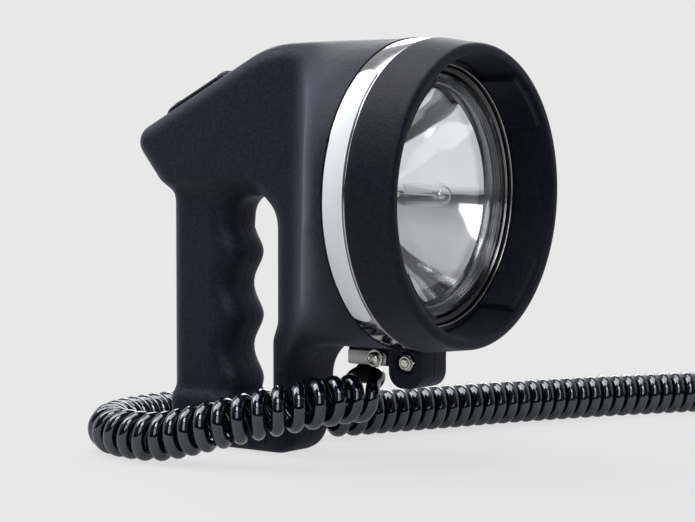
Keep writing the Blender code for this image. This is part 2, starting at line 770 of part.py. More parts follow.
def housing(root, head):
    """The two half shells, with the band's seat, half the lug and half the block on each."""
    switch_x, switch_z, rise = slope_frame()
    slope = bpy.data.objects.new("slope_frame_guide", None)
    bpy.context.scene.collection.objects.link(slope)
    slope.parent = root
    slope.location = (switch_x, 0, switch_z)
    slope.rotation_euler = (0, -rise, 0)
    hole_half = rocker_width / 2 + switch_skirt_wall + run_gap + touch_gap
    skirt_half = rocker_length / 2 + rocker_end_gap + switch_skirt_wall + touch_gap
    halves = []
    for name, side in (("housing_left", -1), ("housing_right", 1)):
        half = housing_half(name, side, root)
        inner = flange_radius - flange_wall
        seat = [(-flange_reach, inner), (flange_reach, inner), (flange_reach, flange_radius),
                (-flange_reach, flange_radius)]
        quarter = math.pi / 2
        first, last = (-quarter, quarter) if side < 0 else (quarter, 3 * quarter)
        ring = arc_block(name + "_seat", seat, first, last, None, head, 20, side * seam_gap / 2)
        combine(half, ring, "UNION", "MANIFOLD")
        near, far = sorted((side * seam_gap / 2, side * lug_half_width))
        combine(half, slab(name + "_lug", lug_outline(), near, far, None, root), "UNION", "MANIFOLD")
        near, far = sorted((side * seam_gap / 2, side * block_half_width))
        combine(half, slab(name + "_block", block_outline(), near, far, None, root), "UNION", "MANIFOLD")
        for k, (x, z) in enumerate(screw_places()):
            reach = local_half_width(x, z) - shell_wall / 2
            near, far = sorted((side * seam_gap / 2, side * reach))
            combine(half, rod(f"{name}_post_{k}", screw_post_radius, (x, near, z), (x, far, z), None, root, 10), "UNION", "MANIFOLD")
        opening = block(name + "_opening", (-skirt_half, -hole_half, -skirt_depth - overrun),
                        (skirt_half, hole_half, switch_frame_height + overrun), None, slope)
        combine(half, opening, "DIFFERENCE", "MANIFOLD")
        bore = rod(name + "_gland_bore", gland_root_radius - gland_wall(), (nose_x - strut_depth / 2, 0, gland_z),
                   (nose_x + overrun, 0, gland_z), None, root)
        combine(half, bore, "DIFFERENCE", "MANIFOLD")
        pinch = rod(name + "_pinch_bore", bolt_radius + touch_gap, (lug_bolt_x, -lug_half_width - overrun, lug_bolt_z),
                    (lug_bolt_x, lug_half_width + overrun, lug_bolt_z), None, root)
        combine(half, pinch, "DIFFERENCE", "MANIFOLD")
        halves.append(half)
    left, right = halves
    pocket = rod("nut_pocket", lug_pocket_radius, (lug_bolt_x, -lug_half_width - overrun, lug_bolt_z),
                 (lug_bolt_x, -lug_half_width + lug_pocket_depth, lug_bolt_z), None, root)
    combine(left, pocket, "DIFFERENCE", "MANIFOLD")
    counter = rod("bolt_pocket", lug_pocket_radius, (lug_bolt_x, lug_half_width - lug_pocket_depth, lug_bolt_z),
                  (lug_bolt_x, lug_half_width + overrun, lug_bolt_z), None, root)
    combine(right, counter, "DIFFERENCE", "MANIFOLD")
    strain_z = block_foot_z + bracket_height / 2 + touch_gap
    hole = rod("strain_bore", strain_screw_radius + touch_gap,
               (strain_screw_x, -block_half_width - overrun, strain_z),
               (strain_screw_x, -block_half_width + strain_grip_depth + touch_gap, strain_z), None, root)
    combine(left, hole, "DIFFERENCE", "MANIFOLD")
    boss_half = local_half_width(base_boss_x, base_boss_z)
    boss = rod("base_boss", base_boss_radius, (base_boss_x, -boss_half - base_boss_height, base_boss_z),
               (base_boss_x, -boss_half + shell_wall / 2, base_boss_z), None, root)
    combine(left, boss, "UNION", "MANIFOLD")
    for k, (x, z) in enumerate(screw_places()):
        house_screw(k, x, z, left, right, root)
    return slope


def gland_wall():
    return gland_root_radius - cord_radius - touch_gap


def house_screw(k, x, z, left, right, root):
    """A screw sunk in the right half, biting into the left half's post."""
    outside = local_half_width(x, z)
    seat = outside - screw_sink - screw_head_height
    bite = -screw_bite
    profile = [
        (bite, 0),
        (bite, screw_radius),
        (seat, screw_radius),
        (seat, screw_head_radius),
        (seat + screw_head_height, screw_head_radius),
        (seat + screw_head_height, 0),
    ]
    made = turned(f"housing_screw_{k + 1}", profile, steel(), root, 20)
    made.location = (x, 0, z)
    made.rotation_euler = (0, 0, math.pi / 2)
    cut = [
        (bite - touch_gap, 0),
        (bite - touch_gap, screw_radius + touch_gap),
        (seat - touch_gap, screw_radius + touch_gap),
        (seat - touch_gap, screw_head_radius + touch_gap),
        (outside + overrun, screw_head_radius + touch_gap),
        (outside + overrun, 0),
    ]
    for half in (left, right):
        cutter = turned(f"screw_cut_{k + 1}_{half.name}", cut, None, root, 20)
        cutter.location = (x, 0, z)
        cutter.rotation_euler = (0, 0, math.pi / 2)
        combine(half, cutter, "DIFFERENCE", "MANIFOLD")


def arc_points(centre, radius, first, last, cuts):
    return [
        (centre[0] + radius * math.cos(first + (last - first) * k / cuts),
         centre[1] + radius * math.sin(first + (last - first) * k / cuts))
        for k in range(cuts + 1)
    ]


def front_bezel(head):
    """The hood ring: a spigot for the band, a shelf for the lamp, and four pads inside."""
    rear = flange_reach + touch_gap
    shelf_front = lamp_seat() - gasket_thickness - touch_gap
    shelf_rear = shelf_front - shelf_thickness
    spigot_radius = flange_radius - flange_wall - touch_gap
    edge = bezel_edge_radius
    rounded_edge = arc_points((bezel_front - edge, bezel_front_radius - edge), edge, math.pi / 2, 0, 3)
    profile = [
        (rear, flange_radius),
        (bezel_rear, flange_radius),
        (bezel_rear, bezel_rear_radius),
        *rounded_edge,
        (bezel_front, hood_mouth_radius),
        (shelf_front, hood_bore_radius),
        (shelf_front, shelf_radius),
        (shelf_rear, shelf_radius),
        (shelf_rear, spigot_radius),
        (rear, spigot_radius),
    ]
    ring = turned("front_bezel", profile, bezel_rubber(), head, 48, closed=True)
    pad = [
        (pad_rear, hood_bore_radius - pad_height),
        (pad_front, hood_bore_radius - pad_height),
        (pad_front, hood_mouth_radius + pad_height / 2),
        (pad_rear, hood_mouth_radius + pad_height / 2),
    ]
    for k in range(pad_count):
        middle = pad_first_angle + k * 2 * math.pi / pad_count
        made = arc_block(f"pad_{k}", pad, middle - pad_span / 2, middle + pad_span / 2, None, head, 5)
        combine(ring, made, "UNION")


def clamp_band(head):
    """The steel strap round both rims, open at the bottom where its ends stand against the lug."""
    inner = flange_radius + touch_gap
    front = bezel_rear - touch_gap
    profile = [(touch_gap, inner), (front, inner), (front, inner + band_thickness), (touch_gap, inner + band_thickness)]
    quarter = math.pi / 2
    arc_block("clamp_band", profile, -quarter + band_end_angle, 3 * quarter - band_end_angle, steel(), head, 52)
    base = inner + band_thickness + touch_gap
    profile = [
        (label_inset, base),
        (bezel_rear - label_inset, base),
        (bezel_rear - label_inset, base + label_thickness),
        (label_inset, base + label_thickness),
    ]
    arc_block("band_label", profile, label_bottom_angle, label_top_angle, white_film(), head, 20)


def lamp_seat():
    """Where the lamp's rim starts along its axis."""
    return bezel_rear + touch_gap - lamp_recess


def lamp(head):
    """The sealed beam lamp: bowl, rim, front glass and capsule, on its gasket behind a snap ring."""
    seat = lamp_seat()
    inner = lamp_radius - lamp_rim_width
    gasket = [
        (seat - gasket_thickness, shelf_radius + touch_gap),
        (seat - touch_gap, shelf_radius + touch_gap),
        (seat - touch_gap, hood_bore_radius - touch_gap),
        (seat - gasket_thickness, hood_bore_radius - touch_gap),
    ]
    turned("lamp_gasket", gasket, soft_rubber(), head, 36, closed=True)
    front = seat + lamp_rim_depth
    rim = [(seat, inner), (front, inner), (front, lamp_radius), (seat, lamp_radius)]
    turned("lamp_rim", rim, steel(), head, 36, closed=True)
    ring_rear = front + touch_gap
    ring = [
        (ring_rear, hood_bore_radius - touch_gap - snap_ring_width),
        (ring_rear + snap_ring_depth, hood_bore_radius - touch_gap - snap_ring_width),
        (ring_rear + snap_ring_depth, hood_bore_radius - touch_gap),
        (ring_rear, hood_bore_radius - touch_gap),
    ]
    turned("snap_ring", ring, steel(), head, 36, closed=True)
    edge = inner - touch_gap
    shares = (0.0, 0.4, 0.75, 1.0)
    rear_face = front - lens_thickness
    outside = [(front + lens_crown * (1 - s * s), edge * s) for s in shares]
    inside_face = [(rear_face + lens_crown * (1 - s * s), edge * s) for s in reversed(shares)]
    turned("lamp_lens", outside + inside_face, glass(), head, 36)
    bowl(head, seat, edge - 4 * touch_gap)
    capsule(head, seat)


def bowl(head, seat, mouth):
    """A parabola from the neck's radius to the mouth, with its wall outside."""
    front = seat + lamp_rim_depth - lens_thickness - touch_gap
    back = front - bowl_depth
    shares = (0.0, 0.12, 0.35, 0.65, 1.0)

    def radius_at(share):
        return math.sqrt(bowl_neck_radius**2 + (mouth**2 - bowl_neck_radius**2) * share)

    face = [(back + (front - back) * s, radius_at(s) - bowl_wall) for s in shares]
    outer = [(back + (front - back) * s, radius_at(s)) for s in reversed(shares)]
    turned("lamp_reflector", face + outer, mirror(), head, 28, closed=True)


def capsule(head, seat):
    """The halogen capsule on its holder, with filament, and the two tabs behind."""
    front = seat + lamp_rim_depth - lens_thickness - touch_gap
    neck = front - bowl_depth
    tip = capsule_tip_x
    body = tip - capsule_length
    outer = arc_points((tip - capsule_radius, 0), capsule_radius, 0, math.pi / 2, 5)
    wall = capsule_radius / 6
    core = capsule_radius - wall
    hollow = [(body, core), *reversed(arc_points((tip - capsule_radius, 0), core, 0, math.pi / 2, 5))]
    turned("lamp_capsule", outer + hollow, glass(), head, 12)
    holder_front = neck + holder_length - touch_gap
    pinch_front = body - touch_gap
    pinch_rear = holder_front + touch_gap
    block("capsule_pinch", (pinch_rear, -pinch_width / 2, -pinch_thickness / 2),
          (pinch_front, pinch_width / 2, pinch_thickness / 2), glass(), head, pinch_thickness / 6, 1)
    inner = bowl_neck_radius - bowl_wall - touch_gap
    holder = [(neck, 0), (neck, inner), (neck + holder_length / 2, inner), (holder_front, holder_radius),
              (holder_front, 0)]
    turned("lamp_holder", holder, phenolic(), head, 24)
    middle = tip - capsule_length / 4
    wire = filament_radius / 2
    coil = block("filament", (middle - filament_radius, -filament_length / 2, -filament_radius),
                 (middle + filament_radius, filament_length / 2, filament_radius), steel(), head, filament_radius / 2, 1)
    for k, side in ((1, -1), (2, 1)):
        y = side * (filament_length / 2 - 2 * wire)
        leg = block(f"filament_leg_{k}_shape", (pinch_front + touch_gap, y - wire, -wire),
                    (middle, y + wire, wire), None, head)
        combine(coil, leg, "UNION")
        z = side * terminal_spacing / 2
        block(f"lamp_terminal_{k}", (neck - touch_gap - terminal_length, -terminal_width / 2, z - terminal_thickness / 2),
              (neck - touch_gap, terminal_width / 2, z + terminal_thickness / 2), brass(), head,
              terminal_thickness / 4, 1)


def lug_fasteners(root):
    """The pinch bolt, with its head sunk on the far side and its lock nut in the near pocket."""
    seat = lug_half_width - lug_pocket_depth + touch_gap
    tip = -(lug_half_width - lug_pocket_depth + nut_height + nut_collar_height + bolt_radius / 2)
    profile = [
        (tip, 0),
        (tip, bolt_radius * 0.8),
        (tip + bolt_radius * 0.2, bolt_radius),
        (seat, bolt_radius),
        (seat, bolt_head_radius),
        (seat + bolt_head_height, bolt_head_radius),
        (seat + bolt_head_height, 0),
    ]
    bolt = turned("lug_bolt", profile, steel(), root, 24)
    bolt.location = (lug_bolt_x, 0, lug_bolt_z)
    bolt.rotation_euler = (0, 0, math.pi / 2)
    corner = nut_width / math.sqrt(3)
    hexagon = [(corner * math.cos(k * math.pi / 3), corner * math.sin(k * math.pi / 3)) for k in range(6)]
    rear = -(lug_half_width - lug_pocket_depth + touch_gap)
    nut = slab("lug_nut", hexagon, rear - nut_height, rear, steel(), root)
    nut.location = (lug_bolt_x, 0, lug_bolt_z)
    collar = rod("nut_collar", nut_width / 2 * 0.9, (lug_bolt_x, rear - nut_height - nut_collar_height, lug_bolt_z),
                 (lug_bolt_x, rear - nut_height / 2, lug_bolt_z), None, root)
    combine(nut, collar, "UNION")
    bore = rod("nut_bore", bolt_radius + touch_gap, (lug_bolt_x, rear - nut_height - nut_collar_height - overrun, lug_bolt_z),
               (lug_bolt_x, rear + overrun, lug_bolt_z), None, root)
    combine(nut, bore, "DIFFERENCE")


def strain_relief(root):
    """The steel bracket on the block's near face, its screw and washer, and the sleeve on the cord."""
    near = -block_half_width - touch_gap
    low_z = block_foot_z + touch_gap
    high_z = low_z + bracket_height
    rear_x = block_rear_x + bracket_rear_margin
    front_x = block_rear_x + block_length - bracket_front_margin
    plate = block("strain_bracket", (rear_x, near - bracket_thickness, low_z), (front_x, near, high_z), steel(), root)
    middle_z = (low_z + high_z) / 2
    hole = rod("bracket_hole", strain_screw_radius + touch_gap, (strain_screw_x, near - bracket_thickness - overrun, middle_z),
               (strain_screw_x, near + overrun, middle_z), None, root)
    combine(plate, hole, "DIFFERENCE")
    face = near - bracket_thickness - touch_gap
    washer = [
        (0, strain_screw_radius + touch_gap),
        (washer_thickness, strain_screw_radius + touch_gap),
        (washer_thickness, washer_radius),
        (0, washer_radius),
    ]
    disc = turned("strain_washer", washer, steel(), root, 28, closed=True)
    disc.location = (strain_screw_x, face, middle_z)
    disc.rotation_euler = (0, 0, -math.pi / 2)
    head_seat = washer_thickness + touch_gap
    profile = [
        (-strain_grip_depth - bracket_thickness - touch_gap, 0),
        (-strain_grip_depth - bracket_thickness - touch_gap, strain_screw_radius),
        (head_seat, strain_screw_radius),
        (head_seat, strain_head_radius),
        (head_seat + strain_head_height * 0.6, strain_head_radius),
        (head_seat + strain_head_height, strain_head_radius * 0.6),
        (head_seat + strain_head_height, 0),
    ]
    screw = turned("strain_screw", profile, steel(), root, 24)
    screw.location = (strain_screw_x, face, middle_z)
    screw.rotation_euler = (0, 0, -math.pi / 2)
    x, y, z = sleeve_centre
    bore = cord_radius + touch_gap
    sleeve = [
        (-sleeve_length / 2, bore),
        (sleeve_length / 2, bore),
        (sleeve_length / 2, sleeve_radius - run_gap),
        (sleeve_length / 2 - run_gap, sleeve_radius),
        (-sleeve_length / 2 + run_gap, sleeve_radius),
        (-sleeve_length / 2, sleeve_radius - run_gap),
    ]
    tube = turned("cord_sleeve", sleeve, soft_rubber(), root, 16, closed=True)
    tube.location = (x, y, z)
    gland = [
        (nose_x - strut_depth / 2 + overrun, 0),
        (nose_x - strut_depth / 2 + overrun, gland_root_radius - gland_wall() - touch_gap),
        (nose_x + touch_gap, gland_root_radius - gland_wall() - touch_gap),
        (nose_x + touch_gap, gland_root_radius),
        (gland_x - touch_gap, gland_tip_radius),
        (gland_x - touch_gap, 0),
    ]
    made = turned("cord_gland", gland, soft_rubber(), root, 20)
    made.location = (0, 0, gland_z)


def switch(slope):
    """The rocker switch in the slope's frame: +X up the slope, +Z out of it."""
    half_l, half_w = switch_frame_length / 2, switch_frame_width / 2
    hole_l, hole_w = rocker_length / 2 + rocker_end_gap, rocker_width / 2 + run_gap
    wall = switch_skirt_wall
    low = touch_gap
    corners = [(-half_l, -half_w), (half_l, -half_w), (half_l, half_w), (-half_l, half_w)]
    plate_outline = rounded([(x, y, half_w / 2) for x, y in corners], half_w / 4)
    count = len(plate_outline)
    points = [(x, y, low) for x, y in plate_outline] + [(x, y, low + switch_frame_height) for x, y in plate_outline]
    faces = [(i, (i + 1) % count, count + (i + 1) % count, count + i) for i in range(count)]
    faces += [tuple(range(count)), tuple(range(count, 2 * count))]
    frame = add_mesh("switch_frame", points, faces, bezel_rubber(), slope)
    skirt = block("frame_skirt", (-hole_l - wall, -hole_w - wall, -skirt_depth),
                  (hole_l + wall, hole_w + wall, low + switch_frame_height / 2), None, slope)
    combine(frame, skirt, "UNION")
    hole = block("frame_hole", (-hole_l, -hole_w, -skirt_depth - overrun),
                 (hole_l, hole_w, low + switch_frame_height + overrun), None, slope)
    combine(frame, hole, "DIFFERENCE")
    pin_half = hole_w + wall
    pin_bore = rod("pin_bore", pivot_radius + touch_gap, (0, -pin_half - overrun, -rocker_pivot_depth),
                   (0, pin_half + overrun, -rocker_pivot_depth), None, slope, 16)
    combine(frame, pin_bore, "DIFFERENCE")
    rod("rocker_pin", pivot_radius, (0, -pin_half, -rocker_pivot_depth), (0, pin_half, -rocker_pivot_depth),
        steel(), slope, 16)
    rocker(slope)
    body_top = -skirt_depth - touch_gap
    body_low = body_top - switch_body_depth
    body = block("switch_body", (-switch_body_length / 2, -hole_w, body_low),
                 (switch_body_length / 2, hole_w, body_top), phenolic(), slope, touch_gap, 1)
    chamber = block("blade_chamber", (-switch_body_length / 2 + wall, -hole_w + wall, body_top - blade_chamber_depth),
                    (switch_body_length / 2 - wall, hole_w - wall, body_top + overrun), None, slope)
    combine(body, chamber, "DIFFERENCE")
    blade_z = body_top - blade_chamber_depth / 2
    fulcrum = block("blade_fulcrum", (-blade_thickness, -blade_width / 2, body_top - blade_chamber_depth - wall / 2),
                    (blade_thickness, blade_width / 2, blade_z - blade_thickness - touch_gap), None, slope)
    combine(body, fulcrum, "UNION")
    contact_blade(slope, blade_z)
    for k in range(3):
        x = (k - 1) * switch_tab_spacing
        block(f"switch_terminal_{k + 1}", (x - terminal_width / 3, -terminal_thickness / 2, body_low - switch_tab_length),
              (x + terminal_width / 3, terminal_thickness / 2, body_low - touch_gap), brass(), slope,
              terminal_thickness / 4, 1)


def rocker(slope):
    """The rubber-topped key: two crests with a dip between them, over the pin's boss."""
    half_l, half_w = rocker_length / 2, rocker_width / 2
    pivot = bpy.data.objects.new("rocker_axis", None)
    bpy.context.scene.collection.objects.link(pivot)
    pivot.parent = slope
    pivot.location = (0, 0, -rocker_pivot_depth)
    lift = rocker_pivot_depth
    shares = (-1.0, -0.93, -0.8, -0.62, -0.4, -0.2, 0.0, 0.2, 0.4, 0.62, 0.8, 0.93, 1.0)
    top = []
    for s in shares:
        wave = 0.5 - 0.5 * math.cos(2 * math.pi * min(abs(s) / 1.24, 1.0))
        top.append((s * half_l, lift + rocker_dip + (rocker_crest - rocker_dip) * wave - (abs(s) > 0.95) * rocker_dip / 2))
    low = lift - rocker_depth
    outline = top + [(half_l, low), (-half_l, low)]
    key = slab("rocker", outline, -half_w, half_w, soft_rubber(), pivot)
    rounding = key.modifiers.new("edges", "BEVEL")
    rounding.width = rocker_dip / 3
    rounding.segments = 1
    rounding.limit_method = "ANGLE"
    rounding.angle_limit = 60 * degree
    boss = rod("rocker_boss", rocker_boss_radius, (0, -half_w, 0), (0, half_w, 0), None, pivot)
    combine(key, boss, "UNION")
    bore = rod("rocker_bore", pivot_radius + touch_gap, (0, -half_w - overrun, 0), (0, half_w + overrun, 0), None, pivot, 16)
    combine(key, bore, "DIFFERENCE")


def contact_blade(slope, height):
    """The see-saw strip that joins the middle terminal to one side or the other."""
    pivot = bpy.data.objects.new("blade_axis", None)
    bpy.context.scene.collection.objects.link(pivot)
    pivot.parent = slope
    pivot.location = (0, 0, height)
    half, thick = blade_length / 2, blade_thickness / 2
    outline = [(-half, -thick), (0, -2 * thick), (half, -thick), (half, thick), (0, 0), (-half, thick)]
    slab("contact_blade", outline, -blade_width / 2, blade_width / 2, brass(), pivot)


def smooth_through(route, step):
    """Points a step apart on a smooth curve through the route's points."""
    route = np.array(route, float)
    ends = np.vstack([2 * route[0] - route[1], route, 2 * route[-1] - route[-2]])
    dense = []
    for i in range(1, len(ends) - 2):
        p0, p1, p2, p3 = ends[i - 1 : i + 3]
        for t in np.linspace(0, 1, 40, endpoint=False):
            dense.append(0.5 * (2 * p1 + (p2 - p0) * t + (2 * p0 - 5 * p1 + 4 * p2 - p3) * t**2
                                + (3 * p1 - p0 - 3 * p2 + p3) * t**3))
    dense = np.array(dense + [route[-1]])
    along = np.concatenate([[0], np.cumsum(np.linalg.norm(np.diff(dense, axis=0), axis=1))])
    count = max(2, round(along[-1] / step))
    at = np.linspace(0, along[-1], count + 1)
    return np.column_stack([np.interp(at, along, dense[:, k]) for k in range(3)]), at


def curls(route):
    """The helix about the route: left-handed, opened where the axis bends so its turns stay apart."""
    axis, at = smooth_through(route, mm / 2)
    for _ in range(60):
        axis[1:-1] = 0.25 * axis[:-2] + 0.5 * axis[1:-1] + 0.25 * axis[2:]
    along = np.gradient(axis, axis=0)
    along /= np.linalg.norm(along, axis=1)[:, None]
    step = at[1] - at[0]
    bend = np.linalg.norm(np.gradient(along, axis=0), axis=1) / step
    hang = 1 - ease(at, hanging_length * 0.8, hanging_length * 1.2)
    pitch = (curl_pitch + (hanging_pitch - curl_pitch) * hang) / (1 - np.minimum(curl_radius * bend, 0.6))
    turns = np.concatenate([[0], np.cumsum(step / pitch[1:])])
    extra = last_turn_share - first_turn_share
    turns *= (round(turns[-1] - extra) + extra) / turns[-1]
    count = round(turns[-1] * curl_points)
    wanted = np.linspace(0, turns[-1], count + 1)
    centre = np.column_stack([np.interp(wanted, turns, axis[:, k]) for k in range(3)])
    forward = np.column_stack([np.interp(wanted, turns, along[:, k]) for k in range(3)])
    side = np.cross(forward, (0.0, 0.0, 1.0))
    side /= np.linalg.norm(side, axis=1)[:, None]
    up = np.cross(side, forward)
    phase = 2 * np.pi * (wanted[:, None] + first_turn_share)
    return centre + curl_radius * (np.cos(phase) * up - np.sin(phase) * side), round(turns[-1])


def joined(first, second):
    """A curve between two paths that leaves the first and meets the second along their own directions."""
    a, b = first[-1], second[0]
    gap = np.linalg.norm(b - a)
    leave = (first[-1] - first[-2]) / np.linalg.norm(first[-1] - first[-2])
    meet = (second[1] - second[0]) / np.linalg.norm(second[1] - second[0])
    c, d = a + leave * gap / 2.4, b - meet * gap / 2.4
    shares = np.linspace(0, 1, max(3, round(gap / (2 * cord_radius))) + 1)[1:-1, None]
    return (1 - shares) ** 3 * a + 3 * (1 - shares) ** 2 * shares * c + 3 * (1 - shares) * shares**2 * d + shares**3 * b


def cord_path():
    tail, _ = smooth_through(tail_route, 4 * mm)
    coil, turns = curls(curl_route)
    end = plug_entry()
    heading = np.array((math.cos(plug_heading), math.sin(plug_heading), 0.0))
    straight = np.array([end - heading * 4 * cord_radius, end - heading * 2 * cord_radius, end])
    lead, _ = smooth_through(lead_route, 6 * mm)
    path = np.vstack([tail, joined(tail, coil), coil, joined(coil, lead), lead, joined(lead, straight), straight])
    return path, turns


def least_gap(path):
    """The least distance between two stretches of the cord's surface, over parts that aren't neighbours."""
    fine, at = smooth_through(path, mm)
    best = np.inf
    for i in range(0, len(fine), 2):
        far = np.abs(at - at[i]) > 5 * curl_radius
        best = min(best, np.linalg.norm(fine[far] - fine[i], axis=1).min())
    return best - 2 * cord_radius


def plug_entry():
    """Where the cord meets the plug's boot."""
    heading = np.array((math.cos(plug_heading), math.sin(plug_heading), 0.0))
    centre = np.array((*plug_centre, plug_grip_radius))
    return centre - heading * (plug_grip_length / 2 + plug_boot_length + touch_gap)


def cord(root):
    path, turns = cord_path()
    made = add_tube("curly_cord", path, cord_radius, tube_sides_level, cord_jacket(), root)
    length = np.linalg.norm(np.diff(path, axis=0), axis=1).sum()
    print(f"curly cord: {turns} curls, {length:.3f} m, least gap {least_gap(path) / mm:.2f} mm")
    return made


def terminal_place(k):
    """The lower end of a switch terminal, and a place further along its line, in the side view."""
    x, z, rise = slope_frame()
    c, s = math.cos(rise), math.sin(rise)
    depth = skirt_depth + touch_gap + switch_body_depth + switch_tab_length + 2 * touch_gap
    along = (k - 1) * switch_tab_spacing
    near = (x + along * c + depth * s, z + along * s - depth * c)
    far = (near[0] + 3 * wire_radius * s, near[1] - 3 * wire_radius * c)
    return near, far


def wires(root):
    """The supply and return wires up the strut, and the switched wire, from terminal to terminal."""
    strut_x = nose_x - strut_depth / 2
    low_z, high_z = gland_z - gland_tip_radius, window_top_z - window_radius
    over_z = window_top_z + 3 * shell_wall
    lamp_x = lamp_seat() + lamp_rim_depth - lens_thickness - bowl_depth - terminal_length - 4 * touch_gap
    ends = [from_head(lamp_x, side * terminal_spacing / 2) for side in (-1, 1)]
    middle, middle_far = terminal_place(1)
    front, front_far = terminal_place(2)
    y = wire_spread
    routes = {
        "supply_wire": [(strut_x, -y, low_z), (strut_x, -y, high_z), (strut_x - y, -y, over_z - 2 * y),
                        (strut_x - 5 * y, -y, over_z), (middle_far[0] + 2 * y, -y / 2, over_z + y),
                        (middle_far[0], 0, middle_far[1]), (middle[0], 0, middle[1])],
        "return_wire": [(strut_x, y, low_z), (strut_x, y, high_z), (strut_x + y, y / 2, high_z + 3 * y),
                        (ends[0][0] - 3 * y, 0, ends[0][1]), (ends[0][0], 0, ends[0][1])],
        "switched_wire": [(front[0], 0, front[1]), (front_far[0], 0, front_far[1]),
                          (front_far[0] + 4 * y, 0, over_z + 2 * y), (strut_x, 0, over_z + y),
                          (ends[1][0] - 3 * y, 0, ends[1][1]), (ends[1][0], 0, ends[1][1])],
    }
    for name, route in routes.items():
        path, _ = smooth_through(route, 7 * wire_radius)
        add_tube(name, path, wire_radius, 0, soft_rubber(), root)


def add_tube(name, path, radius, level, look, root):
    curve = bpy.data.curves.new(name, "CURVE")
    curve.dimensions = "3D"
    curve.bevel_depth = radius
    curve.bevel_resolution = level
    curve.use_fill_caps = True
    line = curve.splines.new("POLY")
    line.points.add(len(path) - 1)
    for point, place in zip(line.points, path):
        point.co = (*place, 1.0)
    return add_object(name, curve, look, root)


def plug(root):
    """The 12 V plug in its own frame: +X is the way it is pushed in."""
    frame = bpy.data.objects.new("plug_frame", None)
    bpy.context.scene.collection.objects.link(frame)
    frame.parent = root
    frame.location = (*plug_centre, plug_grip_radius)
    frame.rotation_euler = (0, 0, plug_heading)
    rear = -plug_grip_length / 2
    front = plug_grip_length / 2
    barrel = front + plug_barrel_length
    nose = barrel + plug_nose_length
    flat = 0.5 * mm
    bore = plug_tip_radius + run_gap
    chamber = plug_tip_flange_radius + run_gap
    stop = nose - plug_nose_length / 3
    depth = stop - 3 * plug_nose_length
    profile = [
        (rear, 0),
        (rear, plug_grip_radius - flat * 3),
        (rear + flat * 3, plug_grip_radius),
        (front - flat * 3, plug_grip_radius),
        (front, plug_radius),
        (barrel, plug_radius),
        (barrel, plug_nose_radius),
        (nose - flat, plug_nose_radius),
        (nose, plug_nose_radius - flat),
        (nose, bore),
        (stop, bore),
        (stop, chamber),
        (depth, chamber),
        (depth, 0),
    ]
    body = turned("plug_body", profile, phenolic(), frame, 24)
    boot_profile = [
        (rear - plug_boot_length, 0),
        (rear - plug_boot_length, cord_radius + 3 * touch_gap),
        (rear - touch_gap, plug_boot_radius),
        (rear - touch_gap, 0),
    ]
    turned("plug_boot", boot_profile, soft_rubber(), frame, 24)
    flange_front = stop - touch_gap
    tip_end = nose + plug_tip_proud
    spring_room = flange_front - plug_nose_length / 2
    tip_profile = [
        (spring_room, 0),
        (spring_room, plug_tip_flange_radius),
        (flange_front, plug_tip_flange_radius),
        (flange_front, plug_tip_radius),
        (tip_end - plug_tip_radius / 2, plug_tip_radius),
        (tip_end, plug_tip_radius / 2),
        (tip_end, 0),
    ]
    turned("plug_tip", tip_profile, brass(), frame, 24)
    fuse_front = spring_room - 2 * plug_tip_travel
    fuse = [(depth + touch_gap, 0), (depth + touch_gap, plug_tip_radius), (fuse_front, plug_tip_radius), (fuse_front, 0)]
    turned("plug_fuse", fuse, brass(), frame, 16)
    for k, side in ((1, -1), (2, 1)):
        low_y, high_y = sorted((side * (plug_radius - plug_contact_thickness), side * (plug_radius + plug_contact_thickness)))
        start = barrel - plug_contact_length - plug_nose_length
        end = barrel - plug_nose_length
        z = plug_contact_width / 2
        block(f"plug_side_contact_{k}", (start, low_y, -z), (end, high_y, z), steel(), frame, plug_contact_thickness / 2, 1)
        grow = touch_gap
        floor = plug_radius - plug_contact_thickness - plug_contact_travel - grow
        low_y, high_y = sorted((side * floor, side * (plug_radius + overrun)))
        slot = block(f"contact_slot_{k}", (start - grow, low_y, -z - grow), (end + grow, high_y, z + grow), None, frame)
        combine(body, slot, "DIFFERENCE")


def main():
    clear_scene()
    root = bpy.data.objects.new("searchlight", None)
    bpy.context.scene.collection.objects.link(root)
    front_x = from_head(bezel_front, bezel_front_radius - bezel_edge_radius)[0]
    rear_x = body_outline(outline_step)[:, 0].min()
    root.location = (-(front_x + rear_x) / 2, 0, 0)
    head = bpy.data.objects.new("lamp_axis", None)
    bpy.context.scene.collection.objects.link(head)
    head.parent = root
    head.location = (0, 0, axis_height)
    head.rotation_euler = (0, nose_down, 0)
    slope = housing(root, head)
    front_bezel(head)
    clamp_band(head)
    lamp(head)
    lug_fasteners(root)
    strain_relief(root)
    switch(slope)
    wires(root)
    cord(root)
    plug(root)


main()
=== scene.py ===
import math

import bmesh
import bpy
import numpy as np
from mathutils import Matrix, Vector
from mathutils.geometry import delaunay_2d_cdt


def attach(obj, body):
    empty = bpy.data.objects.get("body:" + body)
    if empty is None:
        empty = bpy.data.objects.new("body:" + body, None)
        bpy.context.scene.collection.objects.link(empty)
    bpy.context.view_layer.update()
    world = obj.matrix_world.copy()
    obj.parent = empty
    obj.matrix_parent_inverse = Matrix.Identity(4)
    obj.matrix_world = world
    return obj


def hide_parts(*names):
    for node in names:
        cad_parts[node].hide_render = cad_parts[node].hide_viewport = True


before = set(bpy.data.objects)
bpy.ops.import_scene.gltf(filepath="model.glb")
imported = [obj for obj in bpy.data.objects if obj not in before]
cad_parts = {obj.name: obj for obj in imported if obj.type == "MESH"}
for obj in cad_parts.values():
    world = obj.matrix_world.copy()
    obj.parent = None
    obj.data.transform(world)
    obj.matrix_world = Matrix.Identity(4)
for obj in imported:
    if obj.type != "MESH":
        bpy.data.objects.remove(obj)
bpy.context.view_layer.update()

# the dictionaries below hold millimetres and degrees; meshes are in metres
mm = 0.001
degree = math.pi / 180
gap = 0.3  # between pieces that touch

